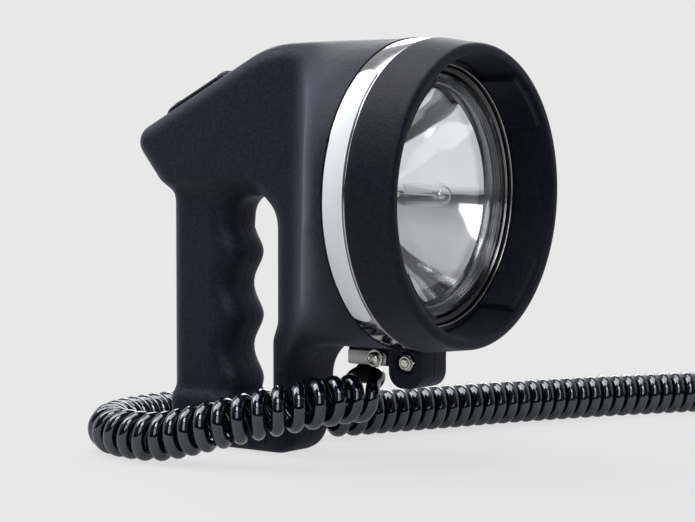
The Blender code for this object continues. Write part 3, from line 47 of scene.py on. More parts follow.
# the body's own zero lies at the clamp band's rear edge, and the head looks down a little
place = {"shiftX": 59.416, "axisHeight": 120.5, "noseDown": 1.6,
         "slope": (-61.108, 0, 167.088), "slopeTurn": -25.2209}
shiftX = place["shiftX"] * mm
noseDown = place["noseDown"] * degree
headMatrix = Matrix.Translation((shiftX, 0, place["axisHeight"] * mm)) @ Matrix.Rotation(noseDown, 4, "Y")
slopeMatrix = (Matrix.Translation(Vector(place["slope"]) * mm)
               @ Matrix.Rotation(place["slopeTurn"] * degree, 4, "Y"))

view = {"azimuth": 37.08, "pitch": 2.71, "place": (458.4, -656.9, 129.0), "lens": 93.7, "sensor": 36,
        "clipStart": 50}


def makeCamera():
    # the photograph's viewpoint: columns right, up and back of its turn, from the azimuth and the pitch
    bpy.context.scene.view_settings.view_transform = "Standard"
    camera = bpy.data.objects.new("camera", bpy.data.cameras.new("camera"))
    bpy.context.scene.collection.objects.link(camera)
    azimuth, pitch = view["azimuth"] * degree, view["pitch"] * degree
    right = Vector((math.cos(azimuth), math.sin(azimuth), 0))
    level = Vector((math.sin(azimuth), -math.cos(azimuth), 0))
    back = level * math.cos(pitch) + Vector((0, 0, math.sin(pitch)))
    turn = Matrix((right, back.cross(right), back)).transposed().to_4x4()
    camera.matrix_world = Matrix.Translation(Vector(view["place"]) * mm + Vector((shiftX, 0, 0))) @ turn
    camera.data.lens = view["lens"]
    camera.data.sensor_width = view["sensor"]
    camera.data.clip_start = view["clipStart"] * mm
    bpy.context.scene.camera = camera


def added(tree, kind, sockets=None, **settings):
    # a node with its settings; each socket gets a plain value or a link from another node's output
    made = tree.nodes.new("ShaderNode" + kind)
    for key, value in settings.items():
        setattr(made, key, value)
    for key, value in (sockets or {}).items():
        if isinstance(value, bpy.types.NodeSocket):
            tree.links.new(value, made.inputs[key])
        else:
            made.inputs[key].default_value = value
    return made


def easedStep(tree, value, start, end, low=0.0, high=1.0):
    # low up to start, high from end on, and an eased rise between them
    sockets = {"Value": value, "From Min": start, "From Max": end, "To Min": low, "To Max": high}
    return added(tree, "MapRange", sockets, interpolation_type="SMOOTHSTEP").outputs["Result"]


def span(tree, value, low, high):
    return added(tree, "MapRange", {"Value": value, "To Min": low, "To Max": high}).outputs["Result"]


def ramp(tree, value, stops):
    made = added(tree, "ValToRGB", {"Fac": value})
    elements = made.color_ramp.elements
    for element, (position, colour) in zip(elements, (stops[0], stops[-1])):
        element.position, element.color = position, (*colour, 1)
    for position, colour in stops[1:-1]:
        elements.new(position).color = (*colour, 1)
    return made.outputs["Color"]


def arithmetic(tree, operation, first, second, **settings):
    return added(tree, "Math", {0: first, 1: second}, operation=operation, **settings).outputs["Value"]


# the floor is lit and shadowed near the object, and turns into the background's grey further out
floorLook = {"size": 6.0, "below": 0.0002, "white": 0.5, "near": 0.08, "far": 0.45, "shown": 0.84,
             "mirrored": 0.4, "sheetFrom": 0.7, "sheetTo": 1.3}
# levels of the room that metal and glass mirror, by the height of the look direction
room = {"grey": 0.806, "backdropFrom": (-0.6, 0.8, 0.0), "backdropStart": -0.35, "backdropEnd": 0.25,
        "frontTint": (0.95, 0.93, 1.0), "glossyShare": 0.22, "soft": 0.12, "softColour": (0.94, 0.96, 1.0, 1),
        "frontLevels": ((0.0, 0.03), (0.10, 0.05), (0.22, 0.34), (0.6, 0.5), (1.0, 0.42)),
        "backLevels": ((0.0, 0.806), (0.3, 0.78), (0.65, 0.5), (1.0, 0.42))}


def greyOf(level):
    return level, level, level, 1


def makeFloor():
    # share of plain grey: for the camera by distance, for mirrors a fixed share, through glass only near by
    look = floorLook
    bpy.ops.mesh.primitive_plane_add(size=look["size"], location=(0, 0, -look["below"]))
    floor = bpy.context.object
    floor.name = "floor"
    made = bpy.data.materials.new("floor")
    made.use_nodes = True
    tree = made.node_tree
    tree.nodes.clear()
    spot = added(tree, "TexCoord").outputs["Object"]
    away = added(tree, "VectorMath", {0: spot}, operation="LENGTH").outputs["Value"]
    rays = added(tree, "LightPath").outputs
    outFar = easedStep(tree, away, look["near"], look["far"], look["shown"])
    nearBy = easedStep(tree, away, look["sheetFrom"], look["sheetTo"], 1.0, 0.0)
    forCamera = arithmetic(tree, "MULTIPLY", rays["Is Camera Ray"], outFar)
    forMirrors = arithmetic(tree, "MULTIPLY", rays["Is Glossy Ray"], look["mirrored"])
    forGlass = arithmetic(tree, "MULTIPLY", rays["Is Transmission Ray"], nearBy)
    share = arithmetic(tree, "MAXIMUM", arithmetic(tree, "MAXIMUM", forCamera, forMirrors), forGlass)
    lit = added(tree, "BsdfDiffuse", {"Color": greyOf(look["white"])}).outputs["BSDF"]
    plain = added(tree, "Emission", {"Color": greyOf(room["grey"])}).outputs["Emission"]
    mixed = added(tree, "MixShader", {"Fac": share, 1: lit, 2: plain}).outputs["Shader"]
    added(tree, "OutputMaterial", {"Surface": mixed})
    floor.data.materials.append(made)


def makeWorld():
    # the camera sees plain grey; metal and glass see it behind the object, and a darker room in front of it
    world = bpy.data.worlds.new("studio")
    bpy.context.scene.world = world
    world.use_nodes = True
    tree = world.node_tree
    tree.nodes.clear()
    direction = added(tree, "TexCoord").outputs["Generated"]
    height = added(tree, "SeparateXYZ", {0: direction}).outputs["Z"]
    towards = added(tree, "VectorMath", {0: direction, 1: room["backdropFrom"]}, operation="DOT_PRODUCT")
    behind = easedStep(tree, towards.outputs["Value"], room["backdropStart"], room["backdropEnd"])
    front = ramp(tree, height, [(z, tuple(level * tint for tint in room["frontTint"]))
                                for z, level in room["frontLevels"]])
    back = ramp(tree, height, [(z, greyOf(level)[:3]) for z, level in room["backLevels"]])
    rays = added(tree, "LightPath").outputs
    # rays through the lens count as glossy too, and see the room undimmed
    glossy, through = rays["Is Glossy Ray"], rays["Is Transmission Ray"]
    dim = span(tree, arithmetic(tree, "SUBTRACT", glossy, through, use_clamp=True), 1, room["glossyShare"])
    dimmed = added(tree, "VectorMath", {0: front, "Scale": dim}, operation="SCALE").outputs["Vector"]
    seen = added(tree, "Mix", {"Factor": behind, "A": dimmed, "B": back}, data_type="RGBA").outputs["Result"]
    shown = added(tree, "Background", {"Color": greyOf(room["grey"])}).outputs["Background"]
    mirrored = added(tree, "Background", {"Color": seen}).outputs["Background"]
    soft = added(tree, "Background", {"Color": room["softColour"], "Strength": room["soft"]})
    sharp = arithmetic(tree, "MAXIMUM", glossy, through)
    first = added(tree, "MixShader", {"Fac": sharp, 1: soft.outputs[0], 2: mirrored}).outputs["Shader"]
    second = added(tree, "MixShader", {"Fac": rays["Is Camera Ray"], 1: first, 2: shown}).outputs["Shader"]
    added(tree, "OutputWorld", {"Surface": second})


# place, aim and size in metres, power in watts
softboxes = {
    "front": ((0.86, -0.98, 0.76), (0.0, 0, 0.09), (0.6, 1.0), 4.0),
    "left": ((-0.85, -0.38, 1.1), (-0.02, 0, 0.12), (0.7, 0.7), 9.0),
    "top": ((-0.15, 0.0, 1.25), (0, 0, 0.05), (1.1, 0.9), 13.0),
    "back_rim": ((-0.6, 0.95, 0.6), (-0.02, 0, 0.1), (0.9, 0.5), 6.0),
    "spark": ((0.40, -0.66, 1.0), (-0.08, -0.05, 0.02), (0.46, 0.36), 4.4),
    "strip": ((0.50, -1.05, 0.50), (-0.08, -0.05, 0.02), (0.10, 0.62), 1.3),
}


def makeLights():
    # each lamp looks from its place towards its aim
    for name, (spot, aim, size, power) in softboxes.items():
        data = bpy.data.lights.new(name, "AREA")
        data.shape = "RECTANGLE"
        data.size, data.size_y = size
        data.energy = power
        lamp = bpy.data.objects.new(name, data)
        bpy.context.scene.collection.objects.link(lamp)
        lamp.location = spot
        lamp.rotation_euler = (Vector(aim) - Vector(spot)).to_track_quat("-Z", "Y").to_euler()


makeCamera()
makeFloor()
makeWorld()
makeLights()
print("stage ready")


def coordinates(tree, stretch=(1, 1, 1)):
    made = added(tree, "Mapping", {"Vector": added(tree, "TexCoord").outputs["Object"], "Scale": stretch})
    return made.outputs["Vector"]


def noise(tree, vector, scale, detail=3.0, rough=0.55):
    sockets = {"Vector": vector, "Scale": scale, "Detail": detail, "Roughness": rough}
    return added(tree, "TexNoise", sockets).outputs["Fac"]


def finish(name, stretch=(1, 1, 1)):
    made = bpy.data.materials.new(name)
    made.use_nodes = True
    tree = made.node_tree
    return made, tree, tree.nodes["Principled BSDF"], coordinates(tree, stretch)


def dress(tree, shader, colour, rough, heights, **plain):
    # colour, roughness and bumps follow a pattern; each bump is (value, strength, metres), laid over the last
    tree.links.new(colour, shader.inputs["Base Color"])
    tree.links.new(rough, shader.inputs["Roughness"])
    normal = None
    for value, strength, distance in heights:
        sockets = {"Strength": strength, "Distance": distance, "Height": value}
        if normal:
            sockets["Normal"] = normal
        normal = added(tree, "Bump", sockets).outputs["Normal"]
    tree.links.new(normal, shader.inputs["Normal"])
    for key, value in plain.items():
        shader.inputs[key.replace("_", " ")].default_value = value


def mouldedPlastic(name, dark, light, rough, grain=1900, depth=0.00006, shine=0.22, sheen=0.0, strength=0.5,
                   mottle=26):
    # broad noise moves the colour between dark and light, a cloud the roughness, and fine noise is the grain
    made, tree, shader, vector = finish(name)
    broad = noise(tree, vector, mottle, 4)
    fine = noise(tree, vector, grain, 2)
    cloud = noise(tree, vector, 140, 3)
    dress(tree, shader, ramp(tree, broad, [(0.3, dark), (0.72, light)]),
          span(tree, cloud, rough - 0.06, rough + 0.06), [(fine, strength, depth)],
          Specular_IOR_Level=shine, Sheen_Weight=sheen, Sheen_Roughness=0.4, Sheen_Tint=(0.72, 0.80, 1.0, 1))
    return made


def workedMetal(name, colour, rough, streak=(1, 1, 1), scale=300, depth=0.00001):
    # one noise, drawn out along the streak, darkens the colour and roughens the polish together
    made, tree, shader, vector = finish(name, streak)
    lines = noise(tree, vector, scale, 4, 0.6)
    darker = tuple(part * 0.86 for part in colour)
    dress(tree, shader, ramp(tree, lines, [(0.35, darker), (0.65, colour)]),
          span(tree, lines, rough * 0.7, rough * 1.35), [(lines, 0.35, depth)], Metallic=1)
    return made


def glossyJacket(name):
    # near black vinyl with a blue cast in its shine, and long shallow waves
    made, tree, shader, vector = finish(name)
    stops = [(0.3, (0.0010, 0.0014, 0.0040)), (0.75, (0.0022, 0.0030, 0.0075))]
    dress(tree, shader, ramp(tree, noise(tree, vector, 55, 3), stops),
          span(tree, noise(tree, vector, 420, 3), 0.03, 0.10), [(noise(tree, vector, 90, 2), 0.2, 0.0003)],
          IOR=1.85, Specular_Tint=(0.84, 0.90, 1.0, 1))
    return made


def clearGlass(name, rough=0.0):
    # a faint smear tints and dulls the glass, and its surface is not quite flat
    made, tree, shader, vector = finish(name)
    smear = noise(tree, vector, 60, 4)
    dress(tree, shader, ramp(tree, smear, [(0.2, (0.93, 0.95, 0.96)), (0.8, (0.98, 0.99, 0.99))]),
          span(tree, smear, rough, rough + 0.02), [(noise(tree, vector, 35, 1), 0.06, 0.0004)],
          Transmission_Weight=1, IOR=1.47)
    return made


def mirrorCoating(name):
    # bright metal with haze, broad waves of the pressed glass under it and a fine grain
    made, tree, shader, vector = finish(name)
    haze, waves, fine = noise(tree, vector, 30, 4), noise(tree, vector, 26, 2), noise(tree, vector, 900, 2)
    dress(tree, shader, ramp(tree, haze, [(0.25, (0.90, 0.90, 0.91)), (0.8, (0.96, 0.96, 0.96))]),
          span(tree, haze, 0.03, 0.10), [(waves, 0.45, 0.002), (fine, 0.15, 0.00005)], Metallic=1)
    return made


plastics = {
    "housing_plastic": {"dark": (0.0035, 0.0045, 0.0100), "light": (0.0120, 0.0140, 0.0265), "rough": 0.5,
                        "grain": 760, "depth": 0.0004, "shine": 0.12, "sheen": 0.16, "mottle": 620},
    "bezel_rubber": {"dark": (0.0030, 0.0036, 0.0080), "light": (0.0095, 0.0110, 0.0190), "rough": 0.5,
                     "grain": 820, "depth": 0.0003, "shine": 0.12, "sheen": 0.12, "mottle": 680},
    "soft_rubber": {"dark": (0.003, 0.003, 0.004), "light": (0.006, 0.006, 0.008), "rough": 0.5,
                    "grain": 1500, "shine": 0.12},
    "rocker_rubber": {"dark": (0.012, 0.0138, 0.020), "light": (0.016, 0.0185, 0.026), "rough": 0.5,
                      "grain": 2100, "depth": 0.00003},
    "phenolic": {"dark": (0.012, 0.012, 0.013), "light": (0.02, 0.02, 0.022), "rough": 0.42, "grain": 900,
                 "depth": 0.00003},
    "label_film": {"dark": (0.64, 0.665, 0.705), "light": (0.70, 0.725, 0.77), "rough": 0.34, "grain": 700,
                   "depth": 0.00001, "strength": 0.2},
    "ceramic": {"dark": (0.62, 0.60, 0.56), "light": (0.74, 0.72, 0.68), "rough": 0.55, "grain": 1200,
                "depth": 0.00003},
}
drawn = {"streak": (1, 30, 30), "scale": 40}  # long streaks round the part
metals = {
    "polished_steel": {"colour": (0.80, 0.79, 0.77), "rough": 0.16, **drawn},
    "band_steel": {"colour": (0.44, 0.43, 0.45), "rough": 0.13, **drawn},
    "bracket_steel": {"colour": (0.36, 0.345, 0.35), "rough": 0.26, **drawn},
    # darker steel for the lamp's rim, snap ring and reflector collar: partly their own dark chrome, partly
    # painted shade for the dark hood that they sit in and mirror
    "smoked_steel": {"colour": (0.34, 0.34, 0.35), "rough": 0.2, **drawn},
    "zinc_plate": {"colour": (0.66, 0.65, 0.62), "rough": 0.24, "scale": 500, "depth": 0.00002},
    "contact_brass": {"colour": (0.83, 0.64, 0.33), "rough": 0.26, "scale": 350},
    "nickel": {"colour": (0.72, 0.70, 0.66), "rough": 0.2, "scale": 350},
}
looks = {name: mouldedPlastic(name, **values) for name, values in plastics.items()}
looks |= {name: workedMetal(name, **values) for name, values in metals.items()}
looks |= {"reflector_coating": mirrorCoating("reflector_coating"), "lens_glass": clearGlass("lens_glass"),
          "capsule_glass": clearGlass("capsule_glass", 0.01), "cord_jacket": glossyJacket("cord_jacket")}
print("materials ready")


def meshOf(name, points, blocks):
    # a mesh object in metres whose faces all point outwards; each block holds faces with equally many corners
    mesh = bpy.data.meshes.new(name)
    mesh.from_pydata(points.tolist(), [], [face for block in blocks for face in np.asarray(block).tolist()])
    edit = bmesh.new()
    edit.from_mesh(mesh)
    bmesh.ops.recalc_face_normals(edit, faces=edit.faces)
    edit.to_mesh(mesh)
    edit.free()
    made = bpy.data.objects.new(name, mesh)
    bpy.context.scene.collection.objects.link(made)
    return made


# what moves on its own; everything else rides on the searchlight
movers = ("rocker", "plug_tip", "plug_side_contact_1", "plug_side_contact_2")
# the surface that each look stands for, unless a piece names another
slots = {look: look for look in looks} | {look: "stainless_steel" for look in metals}
slots |= {"rocker_rubber": "soft_rubber", "phenolic": "switch_phenolic", "ceramic": "switch_phenolic",
          "lens_glass": "lamp_glass", "capsule_glass": "lamp_glass"}


def addPiece(name, solid, look, matrix=headMatrix, slot=None, sharp=35, changes=()):
    # a visible piece, named after the CAD node that it stands for, with its joins and cuts; its frame is
    # the head's unless another is given
    made = meshOf(name, *placed(solid, matrix))
    made.data.materials.append(looks[look])
    if changes:
        applied(made, changes)
    made.data.shade_smooth()
    made.data.set_sharp_from_angle(angle=sharp * degree)
    node = name.rpartition("_")[0]
    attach(made, node if node in movers else "searchlight")
    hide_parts(node)
    return made


def placed(solid, matrix):
    # the solid's points in millimetres, turned and moved by the matrix into metres
    points, blocks = solid
    turn = np.array(matrix, float)
    return np.asarray(points, float) * mm @ turn[:3, :3].T + turn[:3, 3], blocks


def atBand(x, y, z, turn=0.0):
    # the frame of a piece that is turned about Z at a place in the body's millimetres
    return Matrix.Translation((x * mm + shiftX, y * mm, z * mm)) @ Matrix.Rotation(turn * degree, 4, "Z")


def inBand(solid):
    return placed(solid, atBand(0, 0, 0))


def unit(vectors):
    return vectors / np.linalg.norm(vectors, axis=-1, keepdims=True)


def circle(steps):
    return 2 * np.pi * np.arange(steps) / steps


def merged(solids):
    # several closed solids as one set of points and face blocks
    starts = np.cumsum([0] + [len(points) for points, _ in solids])
    blocks = [np.asarray(block) + start for (_, made), start in zip(solids, starts) for block in made]
    return np.vstack([points for points, _ in solids]), blocks


def skin(rows, ends="flat", poles=None):
    # rows x steps x 3 points, each row a closed loop: a quad joins each pair of points to the next row's
    # pair; "ring" joins the last row to the first, and poles close the ends with fans
    count, steps = rows.shape[:2]
    first = np.arange(count * steps).reshape(count, steps)
    second = np.roll(first, -1, axis=0)
    if ends != "ring":
        first, second = first[:-1], second[:-1]
    quads = np.stack([first, np.roll(first, -1, axis=1), np.roll(second, -1, axis=1), second], axis=2)
    points, blocks = rows.reshape(-1, 3), [quads.reshape(-1, 4)]
    low, high = np.arange(steps), np.arange(steps) + (count - 1) * steps
    if poles is not None:
        points = np.vstack([points, poles])
        blocks += [np.column_stack([np.full(steps, count * steps + k), loop, np.roll(loop, -1)])
                   for k, loop in enumerate((low, high))]
    elif ends == "flat":
        blocks += [[low], [high]]
    return points, blocks


def turned(x, radius, steps, poles=None):
    # revolution about X: (x, r cos a, r sin a), where r may also change round the turn
    a = circle(steps)
    x, radius = np.asarray(x, float)[:, None], np.broadcast_to(radius, (len(x), steps))
    rows = np.stack([np.repeat(x, steps, axis=1), radius * np.cos(a), radius * np.sin(a)], axis=2)
    return skin(rows, "ring") if poles is None else skin(rows, poles=[(end, 0, 0) for end in poles])


def lathe(profile, steps):
    # a profile of (x, r) turned about X; one that starts on the axis ends there too, and gets two poles
    profile = np.asarray(profile, float)
    off = profile[:, 1] > 1e-4
    ring = profile[off]
    return turned(ring[:, 0], ring[:, 1:], steps, None if off[0] else profile[[0, -1], 0])


def arcRows(profiles, angles):
    # (x, r) rows carried about X to their angles: (x, -r cos a, r sin a), so 90 degrees is up
    a = np.asarray(angles)[:, None]
    x, r = np.broadcast_to(profiles[..., 0], (len(a), profiles.shape[-2])), profiles[..., 1]
    return np.stack([x, -r * np.cos(a), r * np.sin(a)], axis=2)


def quarter(cuts):
    # a quarter round in shares: how far in from the end, and how far the form is drawn in there
    turn = np.pi / 2 * np.arange(cuts + 1) / cuts
    return 1 - np.cos(turn), 1 - np.sin(turn)


def softArc(profile, first, last, steps, soften):
    # a profile of (x, r) carried about X whose ends are drawn in by a quarter round towards its middle
    profile = np.asarray(profile, float)
    middle = profile.mean(axis=0)
    along, drawnIn = quarter(4)
    reach = soften / middle[1]
    inner = np.linspace(first + reach, last - reach, steps + 1)[1:-1]
    angles = np.concatenate([first + reach * along, inner, (last - reach * along)[::-1]])
    inset = soften * np.concatenate([drawnIn, np.zeros(len(inner)), drawnIn[::-1]])
    share = 1 - inset[:, None, None] / np.abs(profile - middle).max(axis=0)
    return skin(arcRows(middle + (profile - middle) * share, angles))


def slab(outline, low, high, soften=0.0, cuts=2):
    # an outline of (x, z) carried from y = low to high, its rims drawn in by a quarter round
    outline = np.asarray(outline, float)
    along = unit(np.roll(outline, -1, axis=0) - np.roll(outline, 1, axis=0))
    normal = np.column_stack([along[:, 1], -along[:, 0]])
    x, z = outline.T
    if np.sum(x * np.roll(z, -1) - np.roll(x, -1) * z) < 0:
        normal = -normal
    near, drawnIn = quarter(cuts) if soften else (np.zeros(1), np.zeros(1))
    y = np.concatenate([low + soften * near, (high - soften * near)[::-1]])
    inset = soften * np.concatenate([drawnIn, drawnIn[::-1]])
    rows = outline - normal * inset[:, None, None]
    return skin(np.stack([rows[..., 0], np.repeat(y[:, None], len(outline), axis=1), rows[..., 1]], axis=2))


def tube(path, radius, sides):
    # rings about the path: p + r (cos k side + sin k (run x side)), where each ring's side is the one before
    # it made square to its own run, so the tube doesn't twist
    run = unit(np.gradient(path, axis=0))
    side = [unit(np.cross(run[0], (0.3, 0.2, 1.0)))]
    for along in run:
        side.append(unit(side[-1] - along * (side[-1] @ along)))
    side = np.array(side[1:])
    across = np.cross(run, side)[:, None]
    k = circle(sides)[:, None]
    return skin(path[:, None] + radius * (np.cos(k) * side[:, None] + np.sin(k) * across))


def rod(axis, start, end, radius, steps=48):
    # a round bar along Y or X between two places
    a = circle(steps)
    ring = np.zeros((steps, 3))
    ring[:, 0 if axis == "Y" else 1], ring[:, 2] = radius * np.cos(a), radius * np.sin(a)
    return skin(np.array([start, end], float)[:, None] + ring)


def box(low, high):
    points = np.stack(np.meshgrid(*zip(low, high), indexing="ij"), axis=-1).reshape(-1, 3)
    return points, [[(0, 1, 3, 2), (4, 6, 7, 5), (0, 4, 5, 1), (2, 3, 7, 6), (0, 2, 6, 4), (1, 5, 7, 3)]]


def filleted(profile, radius, cuts=3):
    # a corner becomes (1 - t)^2 a + 2 t (1 - t) corner + t^2 b, where a and b lie radius / tan(half angle)
    # from it, or as far as its sides allow; flat and sharp corners stay, and so do ends on the axis
    corner = np.asarray(profile, float)
    radius = np.broadcast_to(np.asarray(radius, float), len(corner))
    before, after = np.roll(corner, 1, axis=0) - corner, np.roll(corner, -1, axis=0) - corner
    lengthBefore, lengthAfter = np.linalg.norm(before, axis=1), np.linalg.norm(after, axis=1)
    before, after = before / lengthBefore[:, None], after / lengthAfter[:, None]
    half = np.arccos(np.clip(np.sum(before * after, axis=1), -1, 1)) / 2
    reach = np.minimum(radius / np.tan(half), 0.45 * np.minimum(lengthBefore, lengthAfter))[:, None]
    t = (np.arange(cuts + 1) / cuts)[:, None]
    a, b, here = (corner + before * reach)[:, None], (corner + after * reach)[:, None], corner[:, None]
    curve = (1 - t) ** 2 * a + 2 * t * (1 - t) * here + t * t * b
    kept = (radius <= 0) | (half > 85 * degree)
    if corner[0, 1] == 0:
        kept[[0, -1]] = True
    curve[kept, 0] = corner[kept]
    used = np.ones(curve.shape[:2], bool)
    used[kept, 1:] = False
    return curve[used]


def roundedLoop(corners, step):
    # each corner (x, z, radius) becomes an arc about corner + bisector * radius / sin(half angle)
    path = []
    for i, (x, z, radius) in enumerate(corners):
        here = np.array((x, z))
        if radius == 0:
            path.append([here])
            continue
        before = unit(np.array(corners[i - 1][:2]) - here)
        after = unit(np.array(corners[(i + 1) % len(corners)][:2]) - here)
        half = math.acos(np.clip(before @ after, -1, 1)) / 2
        reach = radius / math.tan(half)
        centre = here + unit(before + after) * radius / math.sin(half)
        a, b = here + before * reach - centre, here + after * reach - centre
        turn = math.pi - 2 * half
        cuts = max(2, round(turn * radius / step))
        angle = math.copysign(1.0, a[0] * b[1] - a[1] * b[0]) * turn * np.arange(cuts + 1) / cuts
        c, s = np.cos(angle), np.sin(angle)
        path.append(centre + np.column_stack([c * a[0] - s * a[1], s * a[0] + c * a[1]]))
    return np.vstack(path)


def stepped(path, step, counted=np.rint):
    # each stretch is cut into equal parts, as many as its length holds steps
    run = np.diff(path, axis=0)
    cuts = np.maximum(1, counted(np.linalg.norm(run, axis=1) / step)).astype(int)
    at = np.repeat(np.arange(len(cuts)), cuts)
    part = np.arange(cuts.sum()) - np.repeat(np.cumsum(cuts) - cuts, cuts) + 1
    return np.vstack([path[:1], path[at] + run[at] * part[:, None] / cuts[at][:, None]])


def applied(target, changes):
    # the target's mesh after the tool solids have been joined to it or cut from it, in their order
    tools = [(meshOf("tool", *solid), operation) for solid, operation in changes]
    for tool, operation in tools:
        change = target.modifiers.new("change", "BOOLEAN")
        change.operation = operation
        change.solver = "MANIFOLD"
        change.object = tool
    mesh = bpy.data.meshes.new_from_object(target.evaluated_get(bpy.context.evaluated_depsgraph_get()))
    target.modifiers.clear()
    target.data = mesh
    for tool, _ in tools:
        bpy.data.objects.remove(tool, do_unlink=True)


def easeBetween(value, start, end):
    # from 0 to 1 by s^2 (3 - 2 s)
    share = np.clip((value - start) / (end - start), 0, 1)
    return share * share * (3 - 2 * share)


def alongPath(path):
    # length from the path's start to each of its points
    return np.concatenate([[0], np.cumsum(np.linalg.norm(np.diff(path, axis=0), axis=1))])


cord = {"radius": 3.3, "curl": 7.85, "pitch": 7.3, "firstTurn": 0.25, "lastTurn": 0.625, "drawnPerCurl": 32,
        "step": 1.6, "axisStep": 0.5, "axisSmoothing": 60, "tightest": 0.6, "bevel": 6,
        "handle": 2.4, "easedRounds": 40, "glandEase": (4, 4), "leadEase": 14,
        "tail": [(-47.0, 0.0, 30.4), (-44.6, 0.0, 30.4), (-42.2, 0.0, 30.4), (-39.4, 1.4, 33.0),
                 (-36.7, 3.0, 37.0), (-33.5, 3.6, 38.9), (-29.5, 3.6, 38.9), (-25.5, 3.6, 38.9),
                 (-22.6, 2.7, 38.4), (-20.8, 0.0, 37.4), (-19.8, -3.6, 35.9)],
        "curls": [(-23.6, -9.0, 29.4), (-25.4, -14.8, 29.4), (-28.0, -21.8, 29.2), (-32.0, -29.6, 28.3),
                  (-37.3, -37.0, 27.0), (-43.8, -43.6, 25.5), (-51.1, -49.2, 23.6), (-58.7, -53.6, 21.4),
                  (-66.6, -56.8, 19.0), (-75.3, -59.2, 16.6), (-83.6, -60.8, 14.4), (-92.0, -62.2, 12.4),
                  (-100.4, -63.2, 11.3), (-109.0, -63.4, 11.3), (-117.4, -62.6, 11.3), (-125.6, -60.2, 11.3),
                  (-133.0, -55.9, 11.3), (-139.4, -49.2, 11.3), (-144.4, -40.0, 11.3), (-147.6, -29.0, 11.3),
                  (-149.2, -16.0, 11.3), (-149.2, -2.0, 11.3), (-147.0, 12.0, 11.3), (-140.8, 24.8, 11.3),
                  (-128.0, 33.4, 11.3), (-112.0, 35.4, 11.3), (-96.5, 37.4, 11.3), (-84.5, 44.0, 11.3),
                  (-76.5, 56.0, 11.3), (-70.0, 72.0, 11.3), (-62.0, 90.0, 11.3), (-53.0, 111.0, 11.3),
                  (-42.0, 137.0, 11.3), (-29.0, 163.5, 11.3), (-15.0, 189.5, 11.3), (0.0, 214.0, 11.3),
                  (15.5, 238.0, 11.3), (31.0, 258.0, 11.3), (50.0, 270.0, 11.3), (71.0, 268.0, 11.3),
                  (86.0, 255.0, 11.3)],
        "lead": [(97.0, 240.0, 6.0), (101.0, 229.0, 8.0), (101.5, 217.0, 11.0)]}
plugPlace = {"centre": (101.0, 150.0, 12.6), "heading": -88.0, "rear": 15.0, "boot": 16.3}


def smoothThrough(route, step):
    # a Catmull-Rom curve through the route, resampled a step apart along its length
    route = np.array(route, float)
    ends = np.vstack([2 * route[0] - route[1], route, 2 * route[-1] - route[-2]])
    p0, p1, p2, p3 = (ends[k : len(ends) - 3 + k, None] for k in range(4))
    t = np.linspace(0, 1, 40, endpoint=False)[:, None]
    dense = 0.5 * (2 * p1 + (p2 - p0) * t + (2 * p0 - 5 * p1 + 4 * p2 - p3) * t**2
                   + (3 * p1 - p0 - 3 * p2 + p3) * t**3)
    dense = np.vstack([dense.reshape(-1, 3), route[-1]])
    along = alongPath(dense)
    at = np.linspace(0, along[-1], max(2, round(along[-1] / step)) + 1)
    return np.column_stack([np.interp(at, along, dense[:, k]) for k in range(3)]), at


def curled(route):
    # helix about the axis: centre + R (cos(2 pi n) up - sin(2 pi n) side), n growing by ds / pitch;
    # the pitch opens on the outside of a bend, by 1 / (1 - R bend)
    axis, at = smoothThrough(route, cord["axisStep"])
    for _ in range(cord["axisSmoothing"]):
        axis[1:-1] = 0.25 * axis[:-2] + 0.5 * axis[1:-1] + 0.25 * axis[2:]
    along = unit(np.gradient(axis, axis=0))
    step = at[1] - at[0]
    bend = np.linalg.norm(np.gradient(along, axis=0), axis=1) / step
    pitch = cord["pitch"] / (1 - np.minimum(cord["curl"] * bend, cord["tightest"]))
    turns = np.concatenate([[0], np.cumsum(step / pitch[1:])])
    extra = cord["lastTurn"] - cord["firstTurn"]
    turns *= (round(turns[-1] - extra) + extra) / turns[-1]
    wanted = np.linspace(0, turns[-1], round(turns[-1] * cord["drawnPerCurl"]) + 1)
    centre = np.column_stack([np.interp(wanted, turns, axis[:, k]) for k in range(3)])
    forward = np.column_stack([np.interp(wanted, turns, along[:, k]) for k in range(3)])
    side = unit(np.cross(forward, (0.0, 0.0, 1.0)))
    up = np.cross(side, forward)
    phase = 2 * np.pi * (wanted[:, None] + cord["firstTurn"])
    return centre + cord["curl"] * (np.cos(phase) * up - np.sin(phase) * side)


def joinedBy(first, second, step):
    # a Bezier that leaves the first path and meets the second along their own directions
    a, b = first[-1], second[0]
    apart = np.linalg.norm(b - a)
    c = a + unit(first[-1] - first[-2]) * apart / cord["handle"]
    d = b - unit(second[1] - second[0]) * apart / cord["handle"]
    t = np.linspace(0, 1, max(4, round(apart / step)) + 1)[1:-1, None]
    return (1 - t) ** 3 * a + 3 * (1 - t) ** 2 * t * c + 3 * (1 - t) * t**2 * d + t**3 * b


